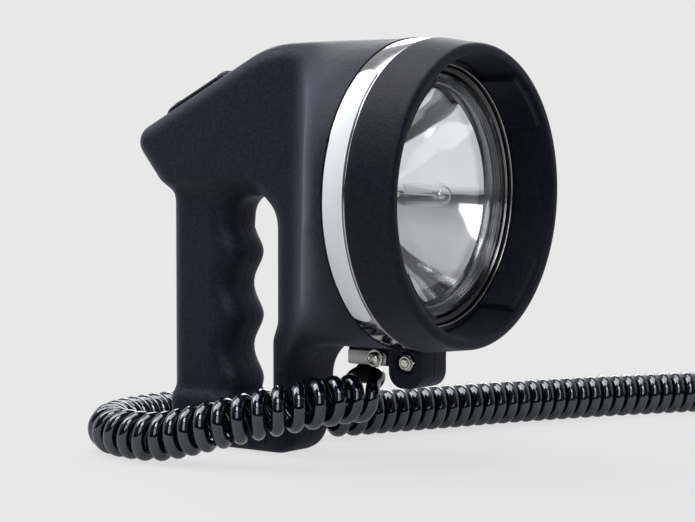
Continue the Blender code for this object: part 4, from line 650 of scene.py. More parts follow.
def cordPath():
    # tail out of the gland, curls round the foot and away, lead into the plug's boot, in metres
    step = cord["step"]
    tail, _ = smoothThrough(cord["tail"], step)
    coil = curled(cord["curls"])
    lead, _ = smoothThrough(cord["lead"], step)
    turn = plugPlace["heading"] * degree
    heading = np.array((math.cos(turn), math.sin(turn), 0.0))
    end = np.array(plugPlace["centre"]) - heading * (plugPlace["rear"] + plugPlace["boot"])
    straight = end - heading * cord["radius"] * np.array([[4], [3], [2], [1], [0]])
    first = joinedBy(tail, coil, step)
    path = np.vstack([tail, first, coil, joinedBy(coil, lead, step), lead, joinedBy(lead, straight, step),
                      straight])
    # sharp turns are eased by the gland and after the last curl: a point moves to its neighbours' mean
    index = np.arange(len(path))
    ease = np.zeros(len(path))
    for centre, reach in (cord["glandEase"], (len(tail) + len(first) + len(coil), cord["leadEase"])):
        ease = np.maximum(ease, np.clip(1 - np.abs(index - centre) / reach, 0, 1))
    for _ in range(cord["easedRounds"]):
        path[1:-1] += ease[1:-1, None] * (0.25 * path[:-2] - 0.5 * path[1:-1] + 0.25 * path[2:])
    return path * mm + np.array((shiftX, 0, 0))


def makeCord():
    # a round jacket along the path
    path = cordPath()
    curve = bpy.data.curves.new("curly_cord_jacket", "CURVE")
    curve.dimensions = "3D"
    curve.bevel_depth = cord["radius"] * mm
    curve.bevel_resolution = cord["bevel"]
    curve.use_fill_caps = True
    line = curve.splines.new("POLY")
    line.points.add(len(path) - 1)
    line.points.foreach_set("co", np.column_stack([path, np.ones(len(path))]).ravel())
    line.use_smooth = True
    curve.materials.append(looks["cord_jacket"])
    piece = bpy.data.objects.new("curly_cord_jacket", curve)
    bpy.context.scene.collection.objects.link(piece)
    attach(piece, "searchlight")
    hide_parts("curly_cord")
    length = float(alongPath(path)[-1])
    print(f"cord {length:.3f} m, {len(path)} points")
    return piece, path, length


cordPiece, cordLine, cordLength = makeCord()
print("cord ready")


housing = {
    "headRadius": 69.0, "wall": 2.8, "neck": 57.0, "halfWidth": 19.0, "gripHalf": 14.5, "baseHalf": 18.0,
    "slopeTopX": -73.0, "roofRadius": 55.0, "beak": (-160.2, 148.4), "beakRadius": 9.0, "beakRootZ": 119.0,
    "beakRootRadius": 8.0, "gripRearX": -135.6, "heelRadius": 7.0, "noseX": -58.6, "noseRadius": 13.0,
    "undersideZ": 52.5, "armpitRadius": 17.0, "strutDepth": 10.0, "baseHeight": 22.0, "windowTopZ": 119.0,
    "windowRadius": 14.0, "windowFoot": 5.0, "gripDepth": 38.2, "groove": 6.0, "groovePitch": 30.4,
    "middleBumpZ": 62.3, "armSideZ": 124.0, "blend": 3.5, "edge": 10.0, "strutEdge": 4.6, "seam": 0.3,
    "ringKept": 0.985, "ringApart": 0.16, "gridApart": 0.55,
    "outlineStep": 2.0, "skinStep": 2.6, "innerStep": 9.0, "innerRings": (0.3, 1.0),
    "rings": (0.015, 0.05, 0.1, 0.17, 0.26, 0.37, 0.5, 0.66, 0.83, 1.0),
}


def toHead(x, z):
    # the head's own x and height: turned by noseDown about its axis
    c, s = math.cos(noseDown), math.sin(noseDown)
    up = z - place["axisHeight"]
    return x * c - up * s, x * s + up * c


def fromHead(x, z):
    c, s = math.cos(noseDown), math.sin(noseDown)
    return x * c + z * s, -x * s + z * c + place["axisHeight"]


def bodyOutline():
    # the side view's outer line, from the mouth's top round the beak, grip and foot to the mouth's bottom
    h, step = housing, housing["outlineStep"]
    top, bottom = fromHead(0, h["headRadius"]), fromHead(0, -h["headRadius"])
    corners = [(*top, 0), (h["slopeTopX"], top[1], h["roofRadius"]), (*h["beak"], h["beakRadius"]),
               (h["gripRearX"], h["beakRootZ"], h["beakRootRadius"]), (h["gripRearX"], 0, h["heelRadius"]),
               (h["noseX"], 0, h["noseRadius"]), (h["noseX"], h["undersideZ"], h["armpitRadius"]),
               (*bottom, 0)]
    return stepped(roundedLoop(corners, step), step)


def grooveX(z):
    # the grip's front: a cosine along its height, one wave to a finger
    h = housing
    wave = np.cos(2 * np.pi * (z - h["middleBumpZ"]) / h["groovePitch"])
    return h["gripRearX"] + h["gripDepth"] + h["groove"] / 2 * wave


def windowOutline():
    # the finger gap: the grip's wave, then round the arm, strut and foot
    h, step = housing, housing["outlineStep"]
    rearX = h["noseX"] - h["strutDepth"]
    high, low = h["windowTopZ"] - h["windowRadius"], h["baseHeight"] + h["windowFoot"]
    gripZ = np.linspace(low, high, max(12, round((high - low) / step)))
    corners = [(grooveX(high), h["windowTopZ"], h["windowRadius"] * 0.7),
               (rearX, h["windowTopZ"], h["windowRadius"]), (rearX, h["baseHeight"], h["windowFoot"]),
               (grooveX(low), h["baseHeight"], h["windowFoot"] * 0.9)]
    loop = np.vstack([np.column_stack([grooveX(gripZ), gripZ]), roundedLoop(corners, step)])
    return stepped(np.vstack([loop, loop[:1]]), step)[:-1]


def inward(path, closed):
    # unit normals to the left of the path, where the material lies
    along = np.roll(path, -1, axis=0) - np.roll(path, 1, axis=0) if closed else np.gradient(path, axis=0)
    along = unit(along)
    return np.column_stack([-along[:, 1], along[:, 0]])


def distanceTo(points, path, closed):
    # least of |p - a - t (b - a)| over the path's stretches, with t held between 0 and 1
    a = path if closed else path[:-1]
    run = (np.roll(path, -1, axis=0) if closed else path[1:]) - a
    away = points[:, None] - a
    share = np.clip(np.sum(away * run, axis=2) / np.maximum(np.sum(run * run, axis=1), 1e-9), 0, 1)
    return np.linalg.norm(away - share[..., None] * run, axis=2).min(axis=1)


def insideOf(points, path):
    # a point is inside where a line to its right crosses the loop an odd number of times
    x, z = points[:, :1], points[:, 1:]
    (ax, az), (bx, bz) = path.T, np.roll(path, -1, axis=0).T
    crosses = (az > z) != (bz > z)
    with np.errstate(divide="ignore", invalid="ignore"):
        crosses &= x < ax + (z - az) * (bx - ax) / (bz - az)
    return crosses.sum(axis=1) % 2 == 1


def nearestEdge(points, outline, window):
    return np.minimum(distanceTo(points, outline, False), distanceTo(points, window, True))


def widthsAt(points):
    # half width and edge radius, eased from arm to grip, base, strut and the round head
    h = housing
    x, z = points[:, 0], points[:, 1]
    along, _ = toHead(x, z)
    neck = 0.5 + 0.5 * np.cos(np.pi * np.clip(-along / h["neck"], 0, 1))
    rearX, b = h["noseX"] - h["strutDepth"], h["blend"]
    belowArm = 1 - easeBetween(z, h["armSideZ"] - b, h["armSideZ"] + b)
    behindGap = 1 - easeBetween(x, rearX - 4 * b, rearX - b)
    aboveBase = easeBetween(z, h["baseHeight"], h["baseHeight"] + 2 * b)
    half = h["halfWidth"] + (h["gripHalf"] - h["halfWidth"]) * belowArm * behindGap * aboveBase
    half = half + (h["baseHalf"] - h["halfWidth"]) * (1 - aboveBase) * belowArm
    belowHead = 1 - easeBetween(z, h["undersideZ"], h["undersideZ"] + h["edge"])
    inStrut = easeBetween(x, rearX - b, rearX) * belowHead
    edge = h["edge"] + (h["strutEdge"] - h["edge"]) * inStrut * aboveBase
    return half + (h["headRadius"] - half) * neck, edge + (h["headRadius"] - edge) * neck


def bulge(depth, half, edge):
    # flat of half - edge, then edge sqrt(1 - (1 - d / edge)^2)
    share = np.clip(depth / edge, 0, 1)
    return np.maximum(half - edge, 0.1) + edge * np.sqrt(1 - (1 - share) ** 2)


def localHalfWidth(x, z):
    spot = np.array([(x, z)])
    depth = nearestEdge(spot, bodyOutline(), windowOutline())
    return float(bulge(depth, *widthsAt(spot))[0])


def thinned(places, reach, fixed):
    # the places that stay when each in turn goes if one that stayed before it lies within its reach
    blockers, blocked, count = [], [], 400  # places compared at a time
    for start in range(0, len(places), count):
        part = slice(start, start + count)
        near = np.sum((places - places[part, None]) ** 2, axis=2) <= reach[part, None] ** 2
        later, earlier = np.nonzero(near)
        later += start
        good = (earlier < later) & (later >= fixed)
        blockers.append(earlier[good])
        blocked.append(later[good])
    blockers, blocked = np.concatenate(blockers), np.concatenate(blocked)
    kept = np.arange(len(places)) < fixed
    waiting = ~kept
    while waiting.any():
        byKept = np.bincount(blocked, kept[blockers], len(places)) > 0
        byOpen = np.bincount(blocked, waiting[blockers], len(places)) > 0
        kept |= waiting & ~byKept & ~byOpen
        waiting &= ~byKept & byOpen
    return places[kept]


def halfSkin(outline, window, mouthRadius, wall, step, shares):
    # one half's bulging side: rings of points parallel to its edges and a staggered grid between them,
    # joined by triangles and raised by the bulge over their distance from the nearest edge
    angles = np.linspace(0, np.pi, max(13, round(np.pi * mouthRadius / step)))[1:-1]
    mouth = np.column_stack(fromHead(0, mouthRadius * np.cos(angles)))[::-1]
    outer, hole = outline, window
    if wall:
        outer = outline + inward(outline, False) * wall
        outer[0], outer[-1] = fromHead(0, mouthRadius), fromHead(0, -mouthRadius)
        hole = window + inward(window, True) * wall
    rim = np.vstack([outer, mouth])
    rings = []
    for path, closed in ((outline, False), (window, True)):
        _, edge = widthsAt(path)
        for share in shares:
            reach = wall + (edge - wall) * share
            move = path + inward(path, closed) * reach[:, None]
            rings.append(move[nearestEdge(move, outline, window) > housing["ringKept"] * reach])
    rings = np.vstack(rings)
    low, high = rim.min(0), rim.max(0)
    grid = np.array(np.meshgrid(np.arange(low[0], high[0], step), np.arange(low[1], high[1], step)))
    grid[0, ::2] += step / 2
    extra = np.vstack([rings, grid.reshape(2, -1).T])
    clear = step * np.where(np.arange(len(extra)) < len(rings), housing["ringApart"], housing["gridApart"])
    good = insideOf(extra, rim) & ~insideOf(extra, hole)
    rimCount, fixed = len(rim), len(rim) + len(hole)
    reach = np.concatenate([np.zeros(fixed), clear[good]])
    places = thinned(np.vstack([rim, hole, extra[good]]), reach, fixed)
    start = np.arange(fixed)
    after = np.concatenate([np.roll(start[:rimCount], -1), np.roll(start[rimCount:], -1)])
    edges = np.column_stack([start, after]).tolist()
    _, _, faces, origins, _, _ = delaunay_2d_cdt(places.tolist(), edges, [], 1, 1e-5)
    triangles = np.array(next(zip(*origins)))[np.array(faces)]
    centres = places[triangles].mean(axis=1)
    triangles = triangles[insideOf(centres, rim) & ~insideOf(centres, hole)]
    half, edge = widthsAt(places)
    heights = bulge(np.maximum(nearestEdge(places, outline, window) - wall, 0), half - wall, edge - wall)
    _, up = toHead(mouth[:, 0], mouth[:, 1])
    heights[len(outer) : rimCount] = np.sqrt(np.maximum(mouthRadius**2 - up**2, 0))
    return places, heights, triangles, len(outer), rimCount, len(hole)


def strip(first, second, closed=False):
    # quads between two rows of as many points
    if closed:
        first, second = np.append(first, first[0]), np.append(second, second[0])
    return np.column_stack([first[:-1], first[1:], second[1:], second[:-1]])


def zipped(first, second):
    # triangles between two rows of unlike counts: the row whose next point lies sooner along it goes on
    n, m = len(first) - 1, len(second) - 1
    order = np.argsort(np.concatenate([np.arange(1, n + 1) / n, np.arange(1, m + 1) / m]), kind="stable")
    onFirst = order < n
    i, j = np.cumsum(onFirst), np.cumsum(~onFirst)
    return np.where(onFirst[:, None], np.column_stack([first[i - 1], first[i], second[j]]),
                    np.column_stack([first[i], second[j], second[j - 1]]))


def halfShell(side, outer, inner):
    # outer and inner skins, joined along the seam and round the mouth
    flat = side * housing["seam"] / 2
    points, blocks, mouths, seams = [], [], [], []
    start = 0
    for places, heights, triangles, count, rimCount, holeCount in (outer, inner):
        edge = np.concatenate([np.arange(count), np.arange(rimCount, rimCount + holeCount)])
        points += [np.column_stack([places[:, 0], side * heights + flat, places[:, 1]]),
                   np.column_stack([places[edge, 0], np.full(len(edge), flat), places[edge, 1]])]
        body, hole = start + np.arange(count), start + np.arange(rimCount, rimCount + holeCount)
        seam = start + len(places) + np.arange(count)
        lip = start + len(places) + count + np.arange(holeCount)
        blocks += [start + triangles, strip(body, seam), strip(hole, lip, True)]
        mouths.append(np.concatenate([seam[-1:], start + np.arange(count - 1, rimCount), body[:1], seam[:1]]))
        seams.append((seam, lip))
        start += len(places) + len(edge)
    (seam, lip), (innerSeam, innerLip) = seams
    blocks += [strip(seam, innerSeam), strip(lip, innerLip, True), zipped(*mouths)]
    return np.vstack(points), blocks


# what joins and opens the shells
flange = {"radius": 67.4, "wall": 3.4, "reach": 5.9, "steps": 96}
lug = {"rear": -8.1, "front": 9.9, "half": 10.2, "foot": 35.0, "round": 7.5, "soft": 1.3, "boltX": 1.2,
       "boltZ": 46.6, "boltRadius": 2.0, "pocketRadius": 5.4, "pocketDepth": 4.6, "past": 12.5}
block = {"rear": -33.0, "front": -10.0, "half": 6.0, "foot": 44.0, "round": 1.6, "soft": 0.9, "screwX": -16.8,
         "screwZ": 47.5, "screwRadius": 1.5, "screwFrom": -8.0, "screwTo": -1.2}
switchHole = {"low": (-22.9, -9.6, -10.0), "high": (22.9, 9.6, 3.6)}
glandHole = {"z": 30.4, "radius": 3.6, "rear": -63.6, "front": -56.6}
boss = {"radius": 6.5, "proud": 0.8, "sunk": 1.4, "steps": 64}
screws = {"places": ((-67.8, 140.8), (-116.5, 103.8), (-116.5, 11.0), (-78.0, 9.5)), "bore": 3.1,
          "sunk": 3.5, "past": 3.0}


def lugLoop():
    stepX = fromHead(flange["reach"], -flange["radius"])[0] - gap
    stepZ = fromHead(bezel["rear"], -flange["radius"])[1] - 2 * gap
    top = place["axisHeight"] - flange["radius"] + flange["wall"] / 2
    return roundedLoop([(lug["rear"], top, 0), (lug["rear"], lug["foot"], lug["round"]),
                        (lug["front"], lug["foot"], lug["round"]), (lug["front"], stepZ, 0),
                        (stepX, stepZ, 0), (stepX, top, 0)], 0.8)


def blockLoop():
    top = housing["undersideZ"] + housing["wall"] / 2
    return roundedLoop([(block["rear"], top, 0), (block["rear"], block["foot"], block["round"]),
                        (block["front"], block["foot"], block["round"]), (block["front"], top, 0)], 0.5)


def halfSlab(loop, side, half, soft):
    # from the seam to the half width, its outer rim rounded; the rows beyond the seam close up behind it
    points, blocks = slab(loop, -half, half, soft, 4)
    rows = points.reshape(-1, len(loop), 3)
    beyond = rows[:, 0, 1] * side < 0
    order = np.arange(len(rows)) if side > 0 else np.arange(len(rows))[::-1]
    rows[beyond, :, 0], rows[beyond, :, 2] = loop[:, 0], loop[:, 1]
    rows[beyond, :, 1] = (side * (housing["seam"] / 2 + 0.001 * order[beyond]))[:, None]
    return inBand((rows.reshape(-1, 3), blocks))


def bore(x, z, start, end, radius, steps=48):
    return inBand(rod("Y", (x, start, z), (x, end, z), radius, steps))


def ringSection(rear, front, low, high):
    # the (x, r) corners of a plain ring
    return [(rear, low), (front, low), (front, high), (rear, high)]


def makeHousing():
    # each half is its shell with flange, lug and block joined on, and its openings and bores cut out
    h = housing
    outline, window = bodyOutline(), windowOutline()
    outer = halfSkin(outline, window, h["headRadius"], 0.0, h["skinStep"], h["rings"])
    inner = halfSkin(outline, window, h["headRadius"] - h["wall"], h["wall"], h["innerStep"], h["innerRings"])
    for node, side in (("housing_left", -1), ("housing_right", 1)):
        low, high, reach = flange["radius"] - flange["wall"], flange["radius"], flange["reach"]
        section = np.array(ringSection(-reach, reach, low, high))
        first = -math.pi / 2 if side < 0 else math.pi / 2
        points, blocks = skin(arcRows(section, np.linspace(first, first + math.pi, flange["steps"] + 1)))
        ring = placed((points + np.array((0, side * h["seam"] / 2, 0)), blocks), headMatrix)
        g = glandHole
        cordBore = rod("X", (g["rear"], 0, g["z"]), (g["front"], 0, g["z"]), g["radius"] + gap)
        bolt, past = (lug["boltX"], lug["boltZ"]), lug["past"]
        pocket = side * (lug["half"] - lug["pocketDepth"])
        changes = [(ring, "UNION"), (halfSlab(lugLoop(), side, lug["half"], lug["soft"]), "UNION"),
                 (halfSlab(blockLoop(), side, block["half"], block["soft"]), "UNION"),
                 (placed(box(**switchHole), slopeMatrix), "DIFFERENCE"), (inBand(cordBore), "DIFFERENCE"),
                 (bore(*bolt, -past, past, lug["boltRadius"] + gap), "DIFFERENCE"),
                 (bore(*bolt, pocket, side * past, lug["pocketRadius"]), "DIFFERENCE")]
        if side < 0:
            changes.append((bore(block["screwX"], block["screwZ"], block["screwFrom"], block["screwTo"],
                               block["screwRadius"] + gap), "DIFFERENCE"))
            x, z = screws["places"][3]
            reach = localHalfWidth(x, z)
            changes.append((bore(x, z, -reach - boss["proud"], -reach + boss["sunk"], boss["radius"],
                               boss["steps"]), "UNION"))
        else:
            for x, z in screws["places"]:
                reach = localHalfWidth(x, z)
                changes.append((bore(x, z, reach - screws["sunk"], reach + screws["past"], screws["bore"]),
                              "DIFFERENCE"))
        shell = addPiece(node + "_shell", halfShell(side, outer, inner), "housing_plastic", atBand(0, 0, 0),
                         sharp=42, changes=changes)
        print(node, len(shell.data.vertices), "points")


bezel = {"spigotRear": 6.2, "rear": 12.5, "front": 34.0, "outerRear": 69.0, "outerFront": 66.4, "edge": 2.6,
         "mouth": 61.4, "bore": 60.4, "shelf": 53.0, "shelfDepth": 2.6, "seat": 8.8, "spigot": 63.7,
         "over": 67.4, "gasket": 2.2, "steps": 192, "stretch": 2.5}
bezelRounds = [0.3, 0.3, 0.7] + [0] * 8 + [1.1, 0.5, 0.4, 0.4, 0.4, 0.4]
pads = {"count": 4, "first": 43.0, "span": 29.0, "rear": 14.8, "front": 31.6, "height": 2.6, "sunk": 1.3,
        "steps": 22, "soft": 0.45}


def makeBezel():
    # the hood's section turned about the head's axis, with four raised pads inside its mouth
    b = bezel
    shelfFront = b["seat"] - b["gasket"] - gap
    shelfRear = shelfFront - b["shelfDepth"]
    turn = np.linspace(math.pi / 2, 0, 8)
    lip = np.column_stack([b["front"] - b["edge"] + b["edge"] * np.cos(turn),
                           b["outerFront"] - b["edge"] + b["edge"] * np.sin(turn)])
    section = np.vstack([
        [(b["spigotRear"], b["over"]), (b["rear"], b["over"]), (b["rear"], b["outerRear"])], lip,
        [(b["front"], b["mouth"]), (shelfFront, b["bore"]), (shelfFront, b["shelf"]), (shelfRear, b["shelf"]),
         (shelfRear, b["spigot"]), (b["spigotRear"], b["spigot"])]])
    rounded = filleted(section, bezelRounds, 4)
    dense = stepped(np.vstack([rounded, rounded[:1]]), b["stretch"], np.floor)[:-1]
    low, high = b["bore"] - pads["height"], b["mouth"] + pads["sunk"]
    pad = filleted(ringSection(pads["rear"], pads["front"], low, high), [0.35, 0.5, 0, 0], 4)
    middles = (pads["first"] + 360 / pads["count"] * np.arange(pads["count"])) * degree
    half = pads["span"] / 2 * degree
    solids = [lathe(dense, b["steps"])]
    solids += [softArc(pad, middle - half, middle + half, pads["steps"], pads["soft"]) for middle in middles]
    addPiece("front_bezel_rubber", merged(solids), "bezel_rubber", sharp=38)


band = {"rear": 0.3, "front": 12.2, "inner": 67.7, "thickness": 1.0, "open": 10.5, "steps": 220, "soft": 0.3}
label = {"inset": 1.3, "thickness": 0.25, "first": -50.0, "last": 50.0, "round": 4.0, "edge": 0.06,
         "endTurn": 0.12, "endSteps": 9, "steps": 90, "leastShare": 0.02}


def makeBand():
    # a strip carried round the head, open at the bottom
    b = band
    high = b["inner"] + b["thickness"]
    section = filleted(ringSection(b["rear"], b["front"], b["inner"], high), [0.1, 0.1, 0.42, 0.42], 4)
    strap = softArc(section, (b["open"] - 90) * degree, (270 - b["open"]) * degree, b["steps"], b["soft"])
    addPiece("clamp_band_steel", strap, "band_steel", sharp=50)


def makeLabel():
    # a bare film on the band whose ends are half rounds: half width times sqrt(1 - (1 - s / round)^2)
    inner = band["inner"] + band["thickness"] + gap
    middle = (band["rear"] + band["front"]) / 2
    half = (band["front"] - band["rear"]) / 2 + gap - label["inset"]
    length = (label["last"] - label["first"]) * degree * inner
    ends = label["round"] * (1 - np.cos(np.linspace(label["endTurn"], math.pi / 2, label["endSteps"])))
    between = np.linspace(label["round"], length - label["round"], label["steps"])[1:-1]
    at = np.concatenate([ends, between, length - ends[::-1]])
    short = np.maximum(1 - np.minimum(at, length - at) / label["round"], 0)
    width = half * np.sqrt(np.maximum(1 - short**2, label["leastShare"]))[:, None]
    top, edge = label["thickness"], label["edge"]
    x = middle + width * (-1, 1, 1, 1, 0, -1, -1) + edge * np.array((0, 0, 0, -2, 0, 2, 0))
    r = inner + np.array((0, 0, top - edge, top, top, top, top - edge))
    rows = arcRows(np.stack([x, np.broadcast_to(r, x.shape)], axis=2), label["first"] * degree + at / inner)
    addPiece("band_label_film", skin(rows), "label_film", sharp=50)


makeHousing()
print("housing ready")
makeBezel()
makeBand()
makeLabel()
print("bezel and band ready")


lamp = {"radius": 57.15, "gasketRound": 0.4, "rimDepth": 3.4, "rimWidth": 2.8, "ribs": 3, "ribDepth": 0.55,
        "rimFall": 0.9, "ringDepth": 1.8, "ringWidth": 3.0, "ringRound": 0.5, "lens": 2.4, "crown": 8.5}
bowl = {"depth": 36.0, "wall": 1.8, "neck": 12.0, "mouthGap": 1.2, "steps": 200}
collar = {"inner": 47.0, "off": 0.25, "back": 0.12, "bead": 0.9, "ribs": 3, "rib": 0.35, "beadShare": 0.6}
capsule = {"radius": 5.2, "length": 25.0, "tip": 17.0, "wallShare": 1 / 6, "heel": 1.2, "heelRound": 0.5,
           "pinchHalf": 1.5, "pinchWide": 4.0, "pinchRear": 4.5}
filament = {"turns": 5, "length": 5.2, "coilShare": 0.9, "coil": 1.7, "wire": 0.34, "legRear": 0.6,
            "legInset": 0.2, "sides": 8}
holder = {"collarDepth": 2.25, "depth": 4.2, "front": 7.5}


def addTurned(name, profile, steps, look, **settings):
    return addPiece(name, lathe(profile, steps), look, **settings)


def makeLampRings():
    # the gasket behind the lamp, its rim and the snap ring; the rim's face falls towards the glass in ribs,
    # each (1 - cos(2 pi s)) / 2
    m, seat, outer = lamp, bezel["seat"], bezel["bore"] - gap
    gasket = filleted(ringSection(seat - bezel["gasket"], seat - gap, bezel["shelf"] + gap, outer),
                      m["gasketRound"])
    addTurned("lamp_gasket_rubber", gasket, 128, "soft_rubber")
    front, inner = seat + m["rimDepth"], m["radius"] - m["rimWidth"]
    across = np.linspace(inner + 0.1, m["radius"] - 0.5, 46)
    share = (across - across[0]) / (across[-1] - across[0])
    wave = 0.5 - 0.5 * np.cos(2 * math.pi * m["ribs"] * share)
    fall = m["rimFall"] * (across[-1] - across) / m["rimWidth"]
    face = np.column_stack([front - m["ribDepth"] * (1 - wave) - fall, across])
    rim = np.vstack([[(seat, inner)], face,
                     [(front - m["ribDepth"] - 0.3, m["radius"]), (seat, m["radius"])]])
    addTurned("lamp_rim_steel", rim, 192, "smoked_steel")
    ring = filleted(ringSection(front + gap, front + gap + m["ringDepth"], outer - m["ringWidth"], outer),
                    m["ringRound"], 4)
    addTurned("snap_ring_steel", ring, 160, "smoked_steel")


def makeLens():
    # both faces are parabolas: crown (1 - s^2) over the share s of the edge radius
    front = bezel["seat"] + lamp["rimDepth"]
    edge = lamp["radius"] - lamp["rimWidth"] - gap
    share = np.linspace(0, 1, 40)
    dome = lamp["crown"] * (1 - share**2)
    outside = np.column_stack([front + dome, edge * share])
    inside = np.column_stack([front - lamp["lens"] + dome, edge * share])[::-1]
    addTurned("lamp_lens_glass", np.vstack([outside, inside]), 160, "lens_glass", sharp=60)
    return front, edge


def makeReflector(front, edge):
    # a paraboloid, r^2 growing evenly with x from the neck to the mouth, and a collar on its edge: a cone
    # with one round bead and three small ribs
    mouth = edge - bowl["mouthGap"]
    back = front - lamp["lens"] - gap - bowl["depth"]
    share = np.linspace(0, 1, 56) ** 1.5
    radius = np.sqrt(bowl["neck"] ** 2 + (mouth**2 - bowl["neck"] ** 2) * share)
    x = back + bowl["depth"] * share
    inside = np.column_stack([x, radius - bowl["wall"]])
    addTurned("lamp_reflector_bowl", np.vstack([inside, np.column_stack([x, radius])[::-1]]), bowl["steps"],
              "reflector_coating", sharp=50)
    c = collar
    out = np.linspace(c["inner"], mouth - bowl["wall"] - 0.1, 80)
    cone = np.interp(out, inside[:, 1], inside[:, 0]) + c["off"]
    rise = np.linspace(0, 1, len(out))
    ribbed = np.clip((rise - c["beadShare"]) / (1 - c["beadShare"]), 0, 1)
    bead = (c["bead"] * np.sin(np.pi * np.minimum(rise / c["beadShare"], 1))
            + c["rib"] * np.abs(np.sin(c["ribs"] * np.pi * ribbed)))
    face = np.vstack([np.column_stack([cone + bead, out]), np.column_stack([cone - c["back"], out])[::-1]])
    # the collar gets the darker steel: painted shade for the dark hood that it mirrors, partly its own dark
    # chrome
    addTurned("lamp_reflector_collar", face, bowl["steps"], "smoked_steel", slot="reflector_coating",
              sharp=50)
    return back


def makeCapsule():
    # a hollow glass tube whose tip is a half ball
    c, r = capsule, capsule["radius"]
    rear, domeX, wall = c["tip"] - c["length"], c["tip"] - r, r * c["wallShare"]
    turn = np.linspace(0, math.pi / 2, 14)
    dome = np.column_stack([domeX + r * np.cos(turn), r * np.sin(turn)])
    hollow = np.column_stack([domeX + (r - wall) * np.cos(turn), (r - wall) * np.sin(turn)])[::-1]
    glass = np.vstack([dome, [(rear + c["heel"], r), (rear, r - c["heelRound"]), (rear, r - wall)], hollow])
    addTurned("lamp_capsule_glass", glass, 64, "capsule_glass", sharp=60)
    return rear


def makeFilament(rear):
    # a fine coil across the capsule, (R cos p, y, R sin p), on two legs
    f = filament
    t = np.linspace(0, 1, f["turns"] * 20)
    phase = 2 * np.pi * f["turns"] * t
    middle = capsule["tip"] - capsule["length"] / 4
    coil = np.column_stack([middle + f["coil"] * np.cos(phase), (t - 0.5) * f["length"] * f["coilShare"],
                            f["coil"] * np.sin(phase)])
    y = f["length"] / 2 - f["legInset"]
    leg = np.array([(rear + f["legRear"], y, 0.0), (middle, y, 0.0), (middle, y * 0.95, 0.0)])
    path = np.vstack([leg * (1, -1, 1), coil, leg[::-1]])
    addPiece("filament_wire", tube(path, f["wire"], f["sides"]), "polished_steel")


def makeHolder(back, rear):
    # the ceramic holder in the bowl's neck, and the capsule's pinched foot between it and the capsule
    wide = bowl["neck"] - bowl["wall"] - gap
    step, face = back + holder["collarDepth"], back + holder["depth"]
    body = filleted([(back, 0), (back, wide), (step, wide), (face, holder["front"]), (face, 0)], 0.4)
    addTurned("lamp_holder_ceramic", body, 80, "ceramic")
    c = capsule
    h, foot, end = c["pinchHalf"], back + c["pinchRear"], rear - gap
    loop = roundedLoop([(foot, -h, 0.4), (end, -h, 0.9), (end, h, 0.9), (foot, h, 0.4)], 0.2)
    pinch = slab(loop, -c["pinchWide"], c["pinchWide"], 0.5, 3)
    addPiece("capsule_pinch_glass", pinch, "polished_steel", slot="lamp_glass")


makeLampRings()
lensFront, lensEdge = makeLens()
bowlBack = makeReflector(lensFront, lensEdge)
capsuleRear = makeCapsule()
makeFilament(capsuleRear)
makeHolder(bowlBack, capsuleRear)
print("lamp ready")


frameSizes = {"length": 50.0, "width": 24.0, "height": 1.6, "corner": 11.0, "edge": 1.1, "lip": 0.5,
              "holeCorner": 1.2, "skirtCorner": 2.0, "skirt": 8.0, "wall": 1.4, "ramp": 7.0, "rampShare": 0.8,
              "dip": 0.7, "dipReach": 15.0}
key = {"length": 40.0, "width": 15.0, "endGap": 1.2, "sideGap": 0.4, "crest": 4.6, "dip": 0.8, "waveEnd": 1.5,
       "rim": 1.5, "camber": 0.35, "depth": 3.2, "inset": 0.02, "rows": 97, "columns": 33}


def roundedRectangles(sizes, count):
    # rows of (half length, half width, corner radius, z) as loops of four arcs: each corner's centre plus
    # radius (cos a, sin a)
    length, width, radius, z = (sizes[:, k, None] for k in range(4))
    signs = np.repeat([(1, 1), (-1, 1), (-1, -1), (1, -1)], count, axis=0)
    a = (np.repeat((0, 90, 180, 270), count) + np.tile(np.linspace(0, 90, count), 4)) * degree
    x = signs[:, 0] * (length - radius) + radius * np.cos(a)
    y = signs[:, 1] * (width - radius) + radius * np.sin(a)
    return np.stack([x, y, np.broadcast_to(z, x.shape)], axis=2)


def makeSwitchFrame():
    # a rounded frame and its skirt; its lower end runs out down the slope in a ramp, and its long sides dip
    # between the key's crests by dip (1 + cos(pi x / reach)) / 2
    f = frameSizes
    low, high = gap, gap + f["height"]
    half = np.array((f["length"] / 2, f["width"] / 2, f["corner"]))
    hole = np.array((key["length"] / 2 + key["endGap"], key["width"] / 2 + key["sideGap"], f["holeCorner"]))
    skirt = (*(hole[:2] + f["wall"]), f["skirtCorner"])
    turn, turnIn = np.linspace(0, math.pi / 2, 6)[:, None], np.linspace(0, math.pi / 2, 4)[:, None]
    over = np.hstack([half - f["edge"] * (1 - np.cos(turn)), high - f["edge"] * (1 - np.sin(turn))])
    into = np.hstack([hole + f["lip"] * (1 - np.sin(turnIn)), high - f["lip"] * (1 - np.cos(turnIn))])
    sizes = np.vstack([[(*half, low)], over, into,
                       [(*hole, -f["skirt"]), (*skirt, -f["skirt"]), (*skirt, low)]])
    points, blocks = skin(roundedRectangles(sizes, 30), "ring")
    x, z = points[:, 0], points[:, 2]
    ramp = np.clip((-x - hole[0] - f["lip"]) / (half[0] - hole[0] - f["lip"]), 0, 1)
    dip = (0.5 + 0.5 * np.cos(np.pi * np.clip(x / f["dipReach"], -1, 1))) * f["dip"]
    lowered = low + (z - low) * (1 - f["rampShare"] * ramp) * (1 - dip)
    points[:, 2] = np.where(z > low, lowered, z)
    points[:, 0] -= f["ramp"] * ramp
    addPiece("switch_frame_rubber", (points, blocks), "housing_plastic", slopeMatrix, "bezel_rubber", 50)


